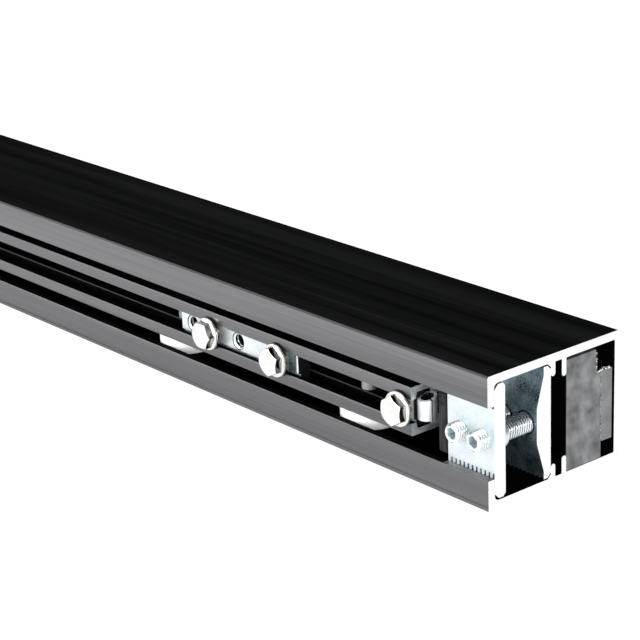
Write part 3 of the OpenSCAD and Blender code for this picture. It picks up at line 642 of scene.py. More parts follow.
@dataclass(frozen=True)
class Housing:
    """The extruded profile: a C section with lips, ribs for the stops and ribs for the stator.

    A rib is (distance of its front from the slot face, thickness, length).
    """

    side_wall: float = 4.2
    fixing_wall: float = 2.4
    lip: float = 4.0
    slot: float = 35.0
    fillet: float = 2.5
    jaw_rib: Triple = (40.0, 3.0, 6.7)
    stator_rib: Triple = (47.2, 3.0, 8.6)
    rib_chamfer: float = 2.0
    rib_round: float = 0.49
    rib_root: float = 0.3
    corner: float = 0.6
    edge: float = 0.2
    brow: float = 0.9
    worn: float = 0.5
    reflection_thickness: float = 0.03
    reveal_inset: float = 1.7
    reveal_width: float = 0.5
    reveal_depth: float = 0.35
    reveal_edge: float = 0.05
    end_edge: float = 0.04

    def half_outline(self, depth: float, half: float) -> list[Triple]:
        """Corners of the upper half of the section, from its outer middle to its inner middle.

        Args:
            depth: Depth of the profile.
            half: Half of its height.

        Returns:
            Corners as distance from the slot face, height above the middle, and radius.
        """
        wall = half - self.side_wall
        ribs = []
        for front, thick, long in (self.jaw_rib, self.stator_rib):
            tip = thick * self.rib_round
            ribs.append([(front, wall - long, tip), (front + thick, wall - long, tip),
                         (front + thick, wall, self.rib_root)])
        jaw_front, stator_front = self.jaw_rib[0], self.stator_rib[0]
        return [
            (depth, half, self.edge),
            (0.0, half, self.brow),
            (0.0, self.slot / 2, self.worn),
            (self.lip, self.slot / 2, self.edge),
            (self.lip, wall, self.fillet),
            (jaw_front - self.rib_chamfer, wall, self.edge),
            (jaw_front, wall - self.rib_chamfer, self.edge),
            *ribs[0],
            (stator_front, wall, self.rib_root),
            *ribs[1],
            (depth - self.fixing_wall, wall, self.corner),
        ]

    def build(self, bench: Bench) -> None:
        """Makes the profile, with sawn ends and painted shade inside, on its reveal and top edge and on its
        outer faces, and a painted reflection of each stop's plate on the lower lip.

        Args:
            bench: Where the piece is made.
        """
        box = NodeBox.of("housing")
        middle = box.middle[Z]
        upper = self.half_outline(box.size[U], box.size[Z] / 2)
        groove = box.low[Z] + self.reveal_inset
        reveal = [
            (0.0, groove + self.reveal_width, self.reveal_edge),
            (self.reveal_depth, groove + self.reveal_width / 2, self.reveal_edge),
            (0.0, groove, self.reveal_edge),
        ]
        lower = [(u, middle - z, r) for u, z, r in reversed(upper)]
        sill = [(0.0, box.low[Z], self.edge), lower[-1]]
        outline = rounded([(u, middle + z, r) for u, z, r in upper] + lower[:-2] + reveal + sill)
        surface = prism(outline, box.low[X], box.high[X], self.end_edge, ends=1)
        inside = run_inside(outline, (self.edge, box.low[Z] + self.edge),
                            (box.high[U] - self.edge, box.high[Z] - self.edge))
        # The reveal groove and the rounding of the top front edge are painted shade.
        shaded_edges = run_inside(outline, (0.0, groove), (self.reveal_depth, groove + self.reveal_width))
        shaded_edges |= run_inside(outline, (0.0, box.high[Z] - self.brow), (self.brow, box.high[Z]))
        outer = run_inside(outline, (self.brow, box.low[Z] - self.edge),
                           (box.high[U] + self.edge, box.high[Z] + self.edge))
        # A run that several rectangles hold takes the first of these finish numbers.
        left = np.ones(len(surface.blocks[0]), bool)
        for number, runs in ((2, inside), (3, shaded_edges), (5, outer)):
            picked = np.resize(runs, len(left)) & left
            surface = surface.repainted(picked[left], number)
            left &= ~picked
        # Each stop's plate gets a painted reflection on the lower lip in front of it.
        reflection_bands = [self.reflection_band(NodeBox.of(f"{end.label}_stop_plate"), middle) for end in End]
        bench.piece("housing_profile", join(surface, *reflection_bands), "housing", "anodised", ["housing"],
                    ANODISED, SAWN, SHADED, EDGE_SHADE, PLATE_REFLECTION, OUTER_SHADE)

    def reflection_band(self, plate: NodeBox, middle: float) -> Surface:
        """A thin band on the lower lip in front of a stop's plate, painted with the plate's reflection.

        Args:
            plate: The plate's box.
            middle: Height of the slot's middle.

        Returns:
            The closed surface, under finish number 4.
        """
        face = middle - self.slot / 2
        outline = np.array([(self.lip, face), (self.lip, face + self.reflection_thickness), (self.edge, face + self.reflection_thickness),
                            (self.edge, face)])
        return prism(outline, plate.low[X], plate.high[X], self.reflection_thickness / 4).painted(4)


@dataclass(frozen=True)
class Beam:
    """The carriage beam: a T-slot in front, an axle slot, a hollow and the magnet flange."""

    mouth: float = 11.7
    lip: float = 3.0
    slope: float = 1.0
    groove: float = 18.0
    groove_depth: float = 8.0
    axle_slot: float = 11.0
    axle_slot_rear: float = 23.55
    web: float = 4.0
    wall: float = 3.0
    body_height: float = 24.3
    flange: float = 3.5
    edge: float = 0.4
    root: float = 0.3
    ledge: float = 0.5
    joint_edge: float = 0.05
    end_edge: float = 0.04

    def build(self, bench: Bench) -> None:
        """Makes the beam as its slotted front, the two walls beside the rear hollow, and the flange.

        Args:
            bench: Where the piece is made.
        """
        box = NodeBox.of("carriage_beam")
        front, rear, middle = box.low[U], box.high[U], box.middle[Z]
        half = self.body_height / 2
        lip_rear = front + self.lip
        groove_front = lip_rear + self.slope
        groove_rear = groove_front + self.groove_depth
        hollow_front = self.axle_slot_rear + self.web
        flange_front = rear - self.flange
        upper = [
            (hollow_front, half, self.joint_edge),
            (front, half, self.edge),
            (front, self.mouth / 2, self.edge),
            (lip_rear, self.mouth / 2, self.edge),
            (groove_front, self.groove / 2, self.root),
            (groove_rear, self.groove / 2, self.root),
            (groove_rear, self.axle_slot / 2, self.ledge),
            (self.axle_slot_rear, self.axle_slot / 2, self.root),
        ]
        slotted = rounded([(u, middle + z, r) for u, z, r in upper]
                          + [(u, middle - z, r) for u, z, r in reversed(upper)])
        # Behind the front lips the beam is painted shade, and the ledges' edges get a painted highlight line.
        inside = run_inside(slotted, (front + self.edge, box.low[Z]), (hollow_front, box.high[Z]))
        ledges = [run_inside(slotted, (groove_rear - self.ledge, middle + z - self.ledge),
                             (groove_rear + self.ledge, middle + z + self.ledge))
                  for z in (-self.axle_slot / 2, self.axle_slot / 2)]
        ledge = np.any(ledges, axis=0)
        stretch = (box.low[X], box.high[X], self.end_edge)
        body = prism(slotted, *stretch, ends=1)
        inside, ledge = (np.resize(runs, len(body.blocks[0])) for runs in (inside & ~ledge, ledge))
        body = body.repainted(inside, 2).repainted(ledge[~inside], 3)
        bars = [
            (hollow_front, flange_front, half - self.wall, half, self.joint_edge),
            (hollow_front, flange_front, -half, self.wall - half, self.joint_edge),
            (flange_front, rear, -box.size[Z] / 2, box.size[Z] / 2, self.edge),
        ]
        solids = [
            prism(rounded([(near, middle + low, r), (far, middle + low, r), (far, middle + high, r),
                           (near, middle + high, r)]), *stretch, ends=1)
            for near, far, low, high, r in bars
        ]
        solids = [bar.repainted(np.ones(len(bar.blocks[0]), bool), 2) for bar in solids]
        bench.piece("carriage_beam_profile", join(body, *solids), "carriage", "anodised", ["carriage_beam"],
                    ANODISED, CUT, SHADED, LEDGE_HIGHLIGHT)


@dataclass(frozen=True)
class FlangeBolt:
    """Hexagon bolt with a washer flange and a threaded shank.

    Each pair in dome is (inwards from the flange's rim, behind the hexagon), and each pair in
    tip is (inwards from the thread's crest, short of the end). The numbers in sides and rims
    are rows of the head's profile.
    """

    flats: float = 13.0
    hex_height: float = 4.0
    chamfer_share: float = 0.965
    chamfer_angle: float = 30.0
    dish: float = 0.12
    dish_rim: tuple[float, float] = (1.5, 1.1)
    foot: float = 0.25
    foot_drop: float = 0.02
    flange_d: float = 17.5
    flange: float = 1.5
    dome: Pairs = ((0.9, 0.32), (0.25, 0.5), (0.0, 0.8))
    seat_edge: float = 0.25
    neck: float = 0.3
    shank_d: float = 8.0
    pitch: float = 1.25
    thread_depth: float = 0.6
    run_in: float = 0.4
    run_out: float = 1.0
    tip: Pairs = ((0.7, 0.6), (1.1, 0.0))
    length: float = 17.2
    sides: tuple[int, ...] = (4,)
    shaded_rims: tuple[int, ...] = (5, 8, 10, 11, 12)
    columns: int = 72

    def surface(self, x: float, front: float, z: float, spin: float = 0.0) -> Surface:
        """Turns the bolt round its axis: a chamfered hexagon, a domed flange and a V thread.

        Args:
            x: Place of the axis along the profile.
            front: Distance of the head's front from the slot face.
            z: Height of the axis.
            spin: Degrees that the bolt is turned by, in whole columns.

        Returns:
            The closed surface, with the shank under finish number 1, painted shade on the head's edges,
            creases and flange rim under 2, and a darker copy of the zinc, painted shade, on the hexagon's
            sides under 3.
        """
        angle = angles(self.columns)
        chamfer = self.flats / 2 * self.chamfer_share
        side = hexagon(angle + math.radians(spin), self.flats)
        fall = (side - chamfer) * math.tan(math.radians(self.chamfer_angle))
        flange_r = self.flange_d / 2
        seat = self.hex_height + self.flange
        crest = self.shank_d / 2
        inner_rim, outer_rim = self.dish_rim
        head = [
            (0.0, self.dish), (chamfer - inner_rim, self.dish), (chamfer - outer_rim, 0.0), (chamfer, 0.0),
            (side, fall), (side, self.hex_height - self.foot),
            (side + self.foot, self.hex_height + self.foot_drop),
            *[(flange_r - inwards, self.hex_height + behind) for inwards, behind in self.dome],
            (flange_r, seat - self.seat_edge), (flange_r - self.seat_edge, seat),
            (crest + self.neck, seat), (crest, seat + self.neck),
        ]
        turns = np.arange(seat + self.run_in, self.length - self.run_out, self.pitch / THREAD_STEPS)
        shank = [(crest - self.thread_depth * thread(h, angle, self.pitch), h) for h in turns]
        tip = [(crest - inwards, self.length - short) for inwards, short in self.tip]
        radius, height = stacked(*head, *shank, *tip, (0.0, self.length), columns=self.columns)
        turned = lathe(radius, height, angle, (x, front, z), U)
        row = np.repeat(np.arange(len(radius) - 1), self.columns)
        behind = row >= len(head) - 1
        turned, row = turned.repainted(behind, 1), row[~behind]
        rim = np.isin(row, self.shaded_rims)
        return turned.repainted(rim, 2).repainted(np.isin(row[~rim], self.sides), 3)


@dataclass(frozen=True)
class ClampScrew:
    """Headless screw with a hexagon socket and a V thread over its whole length.

    Each pair in face_edge and tip is (inwards from the thread's crest, in from that end).
    """

    diameter: float = 10.0
    pitch: float = 1.5
    thread_depth: float = 0.8
    socket: float = 5.0
    socket_depth: float = 5.0
    socket_cone: float = 1.0
    socket_taper: float = 0.1
    socket_rim: tuple[float, float] = (0.35, 0.45)
    face_edge: Pairs = ((1.2, 0.0), (0.75, 0.35))
    first_turn: float = 0.7
    run_in: float = 1.0
    run_out: float = 1.0
    tip: Pairs = ((1.1, 0.5), (1.6, 0.0))
    root_share: float = 0.6
    lit_length: float = 9.0
    columns: int = 48

    def surface(self, x: float, front: float, rear: float, z: float) -> Surface:
        """Turns the screw round its axis, from the socket's floor over the thread to the tip.

        Args:
            x: Place of the axis along the profile.
            front: Distance of its socket end from the slot face.
            rear: Distance of its tip from the slot face.
            z: Height of the axis.

        Returns:
            The closed surface, with painted shade on the thread's roots under finish number 1, and a lighter
            painted shade on the roots near the socket and inside the socket under 2.
        """
        angle = angles(self.columns)
        key = hexagon(angle, self.socket)
        crest = self.diameter / 2
        length = rear - front
        rim_width, rim_depth = self.socket_rim
        socket = [
            (0.0, self.socket_depth + self.socket_cone), (key - self.socket_taper, self.socket_depth),
            (key, rim_depth),
        ]
        face = [(key + rim_width, 0.0), *[(crest - inwards, place) for inwards, place in self.face_edge]]
        turns = np.arange(self.first_turn, length - self.run_out, self.pitch / THREAD_STEPS)
        depth = [self.thread_depth * np.maximum(thread(h, angle, self.pitch), self.run_in - h) for h in turns]
        shank = [(crest - d, h) for d, h in zip(depth, turns)]
        tip = [(crest - inwards, length - place) for inwards, place in self.tip]
        radius, height = stacked(*socket, *face, *shank, *tip, (0.0, length), columns=self.columns)
        turned = lathe(radius, height, angle, (x, front, z), U)
        start = len(socket) + len(face)
        # Thread roots and the socket are painted shade, darker deeper in.
        valley = radius[:-1] < crest - self.root_share * self.thread_depth
        valley[len(socket):start] = False
        inner = height[:-1] > self.lit_length
        inner[:start] = False
        deep = valley & inner
        return turned.repainted(deep.ravel(), 1).repainted((valley & ~inner)[~deep], 2)


@dataclass(frozen=True)
class Hole:
    """A hole through a nut bar, plain or tapped."""

    x: float
    radius: float
    tapped: bool


@dataclass(frozen=True)
class NutBar:
    """A bar that fills the T-slot's groove, with a boss between the lips and holes through it."""

    front: float
    shoulder: float
    rear: float
    half_boss: float
    half_bar: float
    middle: float
    chamfer: float = 0.35
    countersink: float = 0.8
    mouth_edge: float = 0.35
    pitch: float = 1.75
    thread_depth: float = 0.7
    run_out: float = 0.1
    root_share: float = 0.55
    lit_depth: float = 3.6
    clear: float = 5.5
    highlight_width: float = 1.3
    side_steps: int = 8
    top_steps: int = 14

    @property
    def flat(self) -> float:
        """Half the height of the front face, inside its chamfers."""
        return self.half_boss - self.chamfer

    def tile(self, low: float, high: float, hole: Hole) -> tuple[Array, Array, Array]:
        """Loop round one stretch of the bar, and the angles at which its points are seen from the hole.

        Args:
            low: Where the stretch starts.
            high: Where it ends.
            hole: The hole in it.

        Returns:
            The loop's x, its height as a share of the half height, and the angles.
        """
        side = np.linspace(-1, 1, self.side_steps + 1)[:-1]
        top = np.linspace(high, low, self.top_steps + 1)[:-1]
        bottom = np.linspace(low, high, self.top_steps + 1)[:-1]
        ones = np.ones(self.top_steps)
        x = np.concatenate([np.full(self.side_steps, high), top, np.full(self.side_steps, low), bottom])
        share = np.concatenate([side, ones, -side, -ones])
        return x, share, np.arctan2(share * self.half_boss, x - hole.x)

    def bored(self, low: float, high: float, hole: Hole) -> Surface:
        """One stretch of the bar's two faces with its hole.

        The faces run straight from the hole's rim to the loop. The wall's radius falls by
        the thread's depth times a triangle wave, behind a countersunk mouth.

        Args:
            low: Where the stretch starts.
            high: Where it ends.
            hole: The hole in it.

        Returns:
            The open surface, with the hole's painted shade under finish number 1.
        """
        x, share, angle = self.tile(low, high, hole)
        mouth = hole.radius + self.countersink
        turns = np.arange(self.front + self.countersink, self.rear - self.run_out, self.pitch / THREAD_STEPS)
        depth = self.thread_depth if hole.tapped else 0.0
        wall = [(hole.radius - depth * thread(u, angle, self.pitch), u) for u in turns]
        rows = [(mouth, self.front), (mouth - self.mouth_edge, self.front + self.mouth_edge), *wall,
                (hole.radius, self.rear)]
        radius, height = stacked(*rows, columns=len(angle))
        inside = lathe(radius, height, angle, (hole.x, 0, self.middle), U)
        # Thread roots and the deep part of the hole are painted shade.
        root = radius > hole.radius - self.root_share * depth
        root |= height > self.front + self.lit_depth
        # The countersink's slope stays bright, behind its outer edge that is painted shade.
        root[1] = False
        inside = inside.repainted(root[:-1].ravel(), 1)
        faces = []
        for u, half, rim in ((self.front, self.flat, mouth), (self.rear, self.half_bar, hole.radius)):
            edge = np.stack([x, np.full_like(x, u), self.middle + share * half], axis=-1)
            ring = np.stack([hole.x + rim * np.cos(angle), np.full_like(x, u),
                             self.middle + rim * np.sin(angle)], axis=-1)
            faces.append(grid(np.stack([ring, edge])))
        return join(inside, *faces)

    def plain(self, stations: Sequence[float], numbers: Sequence[int]) -> list[Surface]:
        """The two faces of a stretch without a hole, as flat bands from one station to the next.

        Args:
            stations: Where the bands start and end along x.
            numbers: Finish number of each band of the front face.

        Returns:
            The open surfaces.
        """
        share = np.linspace(-1, 1, self.side_steps + 1)
        bands = []
        for a, b, number in zip(stations, stations[1:], numbers):
            for u, half, painted in ((self.front, self.flat, number), (self.rear, self.half_bar, 0)):
                line = np.stack([np.full_like(share, u), self.middle + share * half], axis=1)
                bands.append(grid(swept(np.array([a, b]), line), wrap=False, number=painted))
        return bands

    def surface(self, low: float, high: float, holes: Sequence[Hole],
                worn: Optional[End] = None) -> Surface:
        """The whole bar: a bored stretch round each hole, a stretch with a painted bolt shadow, the stepped
        sides and the ends.

        Args:
            low: Where the bar starts.
            high: Where it ends.
            holes: Its holes, in order along x.
            worn: The end whose last stretch has a painted bolt shadow and a painted highlight on its edge, if
                any.

        Returns:
            The closed surface, with painted shade on bores and ends under finish number 1, the painted bolt
            shadow under 2 and the painted highlight on the edge under 3.
        """
        between = [(a.x + b.x) / 2 for a, b in zip(holes, holes[1:])]
        cuts = [low, *between, high]
        stations, numbers = (), ()
        # At that end the last stretch gets a painted bolt shadow, then a painted highlight along the edge.
        if worn is End.NEAR:
            stations, numbers = (holes[-1].x + self.clear, high - self.highlight_width, high), (2, 3)
            cuts[-1] = stations[0]
        elif worn is End.FAR:
            stations, numbers = (low, low + self.highlight_width, holes[0].x - self.clear), (3, 2)
            cuts[0] = stations[-1]
        stretches = list(zip(cuts, cuts[1:], holes))
        runs = [np.linspace(a, b, self.top_steps + 1) for a, b, _ in stretches]
        station = np.unique(np.concatenate([*runs, stations]).round(9))
        step = np.array([
            (self.front, self.flat), (self.front + self.chamfer, self.half_boss),
            (self.shoulder, self.half_boss), (self.shoulder, self.half_bar - self.chamfer),
            (self.shoulder + self.chamfer, self.half_bar), (self.rear, self.half_bar),
        ])
        lifted = (0, self.middle)
        sides = [grid(swept(station, step * (1, sign) + lifted), wrap=False) for sign in (1, -1)]
        share = np.linspace(-1, 1, self.side_steps + 1)[1:-1]
        face = np.stack([np.full_like(share, self.front), share * self.flat], axis=1)
        back = np.stack([np.full_like(share, self.rear), -share * self.half_bar], axis=1)
        section = np.concatenate([face, step, back, (step * (1, -1))[::-1]])
        # The bar's ends are painted shade.
        ends = [cap(loop, 1) for loop in swept(np.array([low, high]), section + lifted)]
        bored = [self.bored(*stretch) for stretch in stretches]
        return join(*bored, *self.plain(stations, numbers), *sides, *ends)


@dataclass(frozen=True)
class SlotNut:
    """What the nuts in the T-slot share: the end that they belong to, their bolt hole and their boss."""

    end: End
    bolt_radius: float = 4.05
    boss_height: float = 10.4
    shoulder: float = 6.75

    def bar(self, box: NodeBox, rear: float) -> NutBar:
        """The nut bar with the front and the height of a node's box, down to a given rear."""
        return NutBar(box.low[U], self.shoulder, rear, self.boss_height / 2, box.size[Z] / 2, box.middle[Z])


@dataclass(frozen=True)
class Hanger(SlotNut):
    """One door hanger: a nut bar with two flange bolts and two free tapped holes."""

    inner_bolt: float = 20.5
    outer_bolt: float = 35.0
    end_hole: float = 38.5
    spins: tuple[float, float] = (30.0, 5.0)
    tapped_radius: float = 4.0

    def build(self, bench: Bench) -> None:
        """Makes the bar and its bolts.

        Args:
            bench: Where the pieces are made.
        """
        node = f"{self.end.label}_hanger"
        box = NodeBox.of(f"{node}_bar")
        places = [(-self.end_hole, True), (-self.inner_bolt, False), (0.0, True), (self.outer_bolt, False)]
        holes = [
            Hole(box.middle[X] + self.end.value * offset,
                 self.tapped_radius if tapped else self.bolt_radius, tapped)
            for offset, tapped in places
        ]
        in_order = sorted(holes, key=lambda hole: hole.x)
        # The bar's end stretch carries a painted bolt shadow and a painted highlight on its edge.
        surface = self.bar(box, box.high[U]).surface(box.low[X], box.high[X], in_order, self.end)
        bench.piece(f"{node}_nut_bar", surface, node, "zinc", [f"{node}_bar"], ZINC, DEEP_SHADE, JAW, PALE_ZINC_AND_HIGHLIGHT)
        head = NodeBox.of(f"{node}_bolts")
        plain = [hole for hole in holes if not hole.tapped]
        bolts = [FlangeBolt().surface(hole.x, head.low[U], box.middle[Z], spin)
                 for hole, spin in zip(plain, self.spins)]
        bench.piece(f"{node}_flange_bolts", join(*bolts), node, "bolt_steel", [f"{node}_bolts"],
                    BOLT, SHANK, RIM_SHADE, FACET_SHADE)


@dataclass(frozen=True)
class Striker(SlotNut):
    """One striker: a nut block in the beam's end that is rolled into an eye, cut higher at its rear."""

    block_length: float = 15.0
    block_depth: float = 6.0
    bolt_inset: float = 7.5
    eye_d: float = 9.6
    eye_wall: float = 1.9
    eye_height: float = 9.5
    eye_points: int = 64
    seam: float = -16.0
    seam_gap: float = 6.0
    rise: float = 0.28
    edge: float = 0.25

    def rolled(self, x: float, u: float) -> Array:
        """Outline of the eye: a circle that is open at its seam, thickened inwards.

        Args:
            x: Place of the eye's axis along the profile.
            u: Distance of the eye's axis from the slot face.

        Returns:
            The closed outline in x and u, its outer wall first and then its inner wall.
        """
        first, last = np.radians((self.seam + self.seam_gap / 2, self.seam + 360.0 - self.seam_gap / 2))
        turn = np.linspace(first, last, self.eye_points)
        around = np.stack([np.cos(turn), np.sin(turn)], axis=1)
        outer = self.eye_d / 2
        inner = outer - self.eye_wall
        return np.concatenate([outer * around, inner * around[::-1]]) + (x, u)

    def build(self, bench: Bench) -> None:
        """Makes the block with its eye at the near end, or mirrored at the far end.

        Args:
            bench: Where the piece is made.
        """
        label = self.end.label
        box = NodeBox.of("near_striker")
        beam = NodeBox.of("carriage_beam")
        hole = Hole(beam.high[X] - self.bolt_inset, self.bolt_radius, False)
        bar = self.bar(box, self.shoulder + self.block_depth)
        block = bar.surface(box.low[X], box.low[X] + self.block_length, [hole])
        eye = self.rolled(box.high[X] - self.eye_d / 2, box.high[U] - self.eye_d / 2)
        low = box.middle[Z] - self.eye_height / 2
        roll = prism(eye, low, low + self.eye_height, self.edge, Z)
        # The eye's inner wall is painted shade.
        inner = np.arange(len(eye)) >= self.eye_points
        roll = roll.repainted(np.resize(inner, len(roll.blocks[0])), 1)
        upper = roll.points[:, Z] > box.middle[Z]
        roll.points[upper, Z] += self.rise * (roll.points[upper, U] - eye[:, 1].min())
        surface = join(block, roll).at(self.end, beam.middle[X])
        bench.piece(f"{label}_striker_eye", surface, "carriage", "zinc", [f"{label}_striker"], PALE_ZINC_AND_HIGHLIGHT, DEEP_SHADE)


@dataclass(frozen=True)
class StrikerBolts:
    """The two bolts that hold the strikers in the beam's ends."""

    inset: float = Striker.bolt_inset

    def build(self, bench: Bench) -> None:
        """Makes both bolts as one piece.

        Args:
            bench: Where the piece is made.
        """
        beam = NodeBox.of("carriage_beam")
        head = NodeBox.of("striker_bolts")
        places = (beam.low[X] + self.inset, beam.high[X] - self.inset)
        bolts = [FlangeBolt().surface(x, head.low[U], beam.middle[Z]) for x in places]
        bench.piece("striker_flange_bolts", join(*bolts), "carriage", "bolt_steel", ["striker_bolts"],
                    BOLT, SHANK, RIM_SHADE, FACET_SHADE)


@dataclass(frozen=True)
class EndStop:
    """One end stop: a toothed plate behind the lips, a jaw, two clamp screws and a rubber bumper."""

    end: End
    fillet: float = 2.5
    edge_break: float = 1.5
    pitch: float = 2.7
    tooth: float = 0.9
    tooth_steps: int = 6
    gap_share: float = 0.6
    band: float = 12.5
    upper_band: float = 11.4
    jaw_corner: float = 2.05
    jaw_edge: float = 4.5
    jaw_upright: float = 4.0
    jaw_middle: float = 17.0
    thickness: float = 6.8
    screw_inset: float = 7.3
    screw_spacing: float = 13.9
    boss_r: float = 7.0
    bore_r: float = 5.1
    hole_r: float = 5.8
    boss_edge: float = 0.4
    seat_gap: float = 0.05
    bumper_round: float = 1.1
    corner_steps: int = 6
    round_steps: int = 5
    neck: float = 1.2
    neck_inset: float = 0.9
    peg_spread: float = 19.0
    pin_r: float = 0.8
    pin_depth: float = 1.0
    pin_columns: int = 24
    proud: float = 0.04
    columns: int = 64

    def teeth(self, low: float, high: float) -> tuple[Array, Array]:
        """Stations along the serrations and the depth there, which follows a squared sine wave.

        Args:
            low: Where the piece starts.
            high: Where it ends, and where the first tooth starts.

        Returns:
            The stations in order along x, and the depth at each.
        """
        turn = np.arange(int((high - low) / self.pitch) * self.tooth_steps + 1) / self.tooth_steps
        station = high - turn * self.pitch
        depth = self.tooth * np.sin(np.pi * turn) ** 2
        return np.append(station, low)[::-1], np.append(depth, 0.0)[::-1]

    def serrated(self, outline: Array, moved: Array, box: NodeBox) -> Surface:
        """Carries an outline along x, moving its toothed points in by the serrations' depth.

        Args:
            outline: Points as u and z.
            moved: How far each point goes in u and z for a depth of 1.
            box: Box of the piece, which gives its ends.

        Returns:
            The closed surface, with its ends under finish number 1 and painted shade in the gaps between
            teeth under 2.
        """
        station, depth = self.teeth(box.low[X], box.high[X])
        rows = swept(station, outline + depth[:, None, None] * moved)
        toothed = np.any(moved != 0, axis=1)
        # The deep part of each gap between teeth is painted shade.
        gap = (depth[:-1] + depth[1:]) / 2 > self.gap_share * self.tooth
        gap = gap[:, None] & (toothed | np.roll(toothed, -1))
        return join(grid(rows), cap(rows[0], 1), cap(rows[-1], 1)).repainted(gap.ravel(), 2)

    def ring(self, x: float, z: float, section: Array) -> Surface:
        """Turns a closed section of radius and u round the axis of one clamp screw."""
        return lathe(section[:, :1], section[:, 1:], angles(self.columns), (x, 0, z), U, closed=True)

    def hole_shadow(self, x: float, box: NodeBox) -> Surface:
        """A thin dark ring on the jaw round one clamp screw's tip: painted shadow of the jaw's hole.

        Args:
            x: Place of the screw along the profile.
            box: The jaw's box.

        Returns:
            The closed surface, under finish number 3.
        """
        face = box.low[U]
        section = np.array([(self.bore_r, face), (self.hole_r, face), (self.hole_r, face - self.proud),
                            (self.bore_r, face - self.proud)])
        return self.ring(x, box.middle[Z], section).painted(3)

    def boss(self, x: float, box: NodeBox) -> Surface:
        """The round boss behind the plate that one clamp screw runs through.

        Args:
            x: Place of the screw along the profile.
            box: The plate's box.

        Returns:
            The closed surface.
        """
        root, tip = box.low[U] + self.thickness, box.high[U]
        section = rounded([(self.bore_r, root, 0.0), (self.boss_r, root, 0.0),
                           (self.boss_r, tip, self.boss_edge), (self.bore_r, tip, self.boss_edge)])
        return self.ring(x, box.middle[Z], section)

    def plate(self, box: NodeBox) -> Surface:
        """The front plate, with a toothed band above and below its plain middle.

        Args:
            box: The plate's box.

        Returns:
            The closed surface.
        """
        front, rear = box.low[U], box.low[U] + self.thickness
        low, high = box.low[Z], box.high[Z]
        lower, upper = low + self.band, high - self.upper_band
        outline = np.array([
            (front + self.fillet, low), (front, low + self.fillet), (front, lower), (front, lower),
            (front, upper), (front, upper), (front, high - self.fillet), (front + self.fillet, high),
            (rear - self.edge_break, high), (rear, high - self.edge_break),
            (rear, low + self.edge_break), (rear - self.edge_break, low),
        ])
        moved = np.zeros_like(outline)
        # The corners of the two toothed bands move in.
        moved[[1, 2, 5, 6], 0] = 1.0
        return self.serrated(outline, moved, box)

    def jaw(self, box: NodeBox) -> Surface:
        """The jaw: thick in its middle, bevelled to a toothed edge above and below.

        Args:
            box: The jaw's box.

        Returns:
            The closed surface.
        """
        front, rear = box.low[U], box.high[U]
        low, high, middle = box.low[Z], box.high[Z], box.middle[Z]
        outline = np.array([
            (rear - self.jaw_corner, low), (rear, low + self.jaw_corner), (rear, high - self.jaw_corner),
            (rear - self.jaw_corner, high), (rear - self.jaw_edge, high),
            (rear - self.jaw_edge, high - self.jaw_upright),
            (front, middle + self.jaw_middle / 2), (front, middle - self.jaw_middle / 2),
            (rear - self.jaw_edge, low + self.jaw_upright), (rear - self.jaw_edge, low),
        ])
        moved = np.zeros_like(outline)
        # The lower edge's corners move up, and the upper edge's move down.
        moved[[0, -1], 1] = 1.0
        moved[[3, 4], 1] = -1.0
        return self.serrated(outline, moved, box)

    def bumper(self, box: NodeBox, face: float) -> Surface:
        """The rubber block, with round edges all over and a neck where it meets the plate, painted dark as
        shade.

        Args:
            box: The bumper's box.
            face: Where it meets the plate along x.

        Returns:
            The closed surface, with painted shade on the neck, the face towards it and a peg's end under
            finish number 1.
        """
        corners = [
            (box.low[U], box.low[Z], self.bumper_round), (box.high[U], box.low[Z], self.edge_break),
            (box.high[U], box.high[Z], self.edge_break), (box.low[U], box.high[Z], self.bumper_round),
        ]
        outline = rounded(corners, self.corner_steps)
        block = prism(outline, box.low[X], face - self.neck, self.bumper_round, steps=self.round_steps)
        narrow = inset(outline, np.array([self.neck_inset]))[0]
        waist = prism(narrow, face - 2 * self.neck, face, self.proud)
        pin = lathe(np.array([[0.0], [self.pin_r], [self.pin_r], [0.0]]),
                    np.array([[-self.proud], [-self.proud], [self.pin_depth], [self.pin_depth]]),
                    angles(self.pin_columns),
                    ((box.low[X] + face) / 2, box.low[U], box.middle[Z] + self.peg_spread / 2), U)
        # The block's sides and outer face are rubber, and its face towards the neck is painted dark as shade.
        block = Surface(block.points, block.blocks, [0, 0, 1])
        return join(block, pin.painted(1), waist.painted(1))

    def build(self, bench: Bench) -> None:
        """Makes the plate, the jaw, the screws and the bumper, mirrored at the far end.

        Args:
            bench: Where the pieces are made.
        """
        near = {part: NodeBox.of(f"near_stop_{part}") for part in ("plate", "jaw", "screws", "bumper")}
        outer = near["plate"].high[X] - self.screw_inset
        places = (outer, outer - self.screw_spacing)
        screws = [
            ClampScrew().surface(x, near["screws"].low[U], near["screws"].high[U], near["screws"].middle[Z])
            for x in places
        ]
        bosses = [self.boss(x, near["plate"]) for x in places]
        shaded_rims = [self.hole_shadow(x, near["jaw"]) for x in places]
        bumper = self.bumper(near["bumper"], near["plate"].low[X] - self.seat_gap)
        made = {
            "plate": (join(self.plate(near["plate"]), *bosses), "zinc", (ZINC, SAWN, TOOTH_GAP_SHADE)),
            "jaw": (join(self.jaw(near["jaw"]), *shaded_rims), "zinc", (JAW, SAWN, JAW, DEEP_SHADE)),
            "screws": (join(*screws), "zinc", (SCREW, ROOT_SHADE, VALLEY_SHADE)),
            "bumper": (bumper, "rubber", (RUBBER, DEEP_SHADE)),
        }
        for part, (surface, slot, finishes) in made.items():
            node = f"{self.end.label}_stop_{part}"
            bench.piece(f"{node}_dressed", surface.at(self.end), "housing", slot, [node], *finishes)


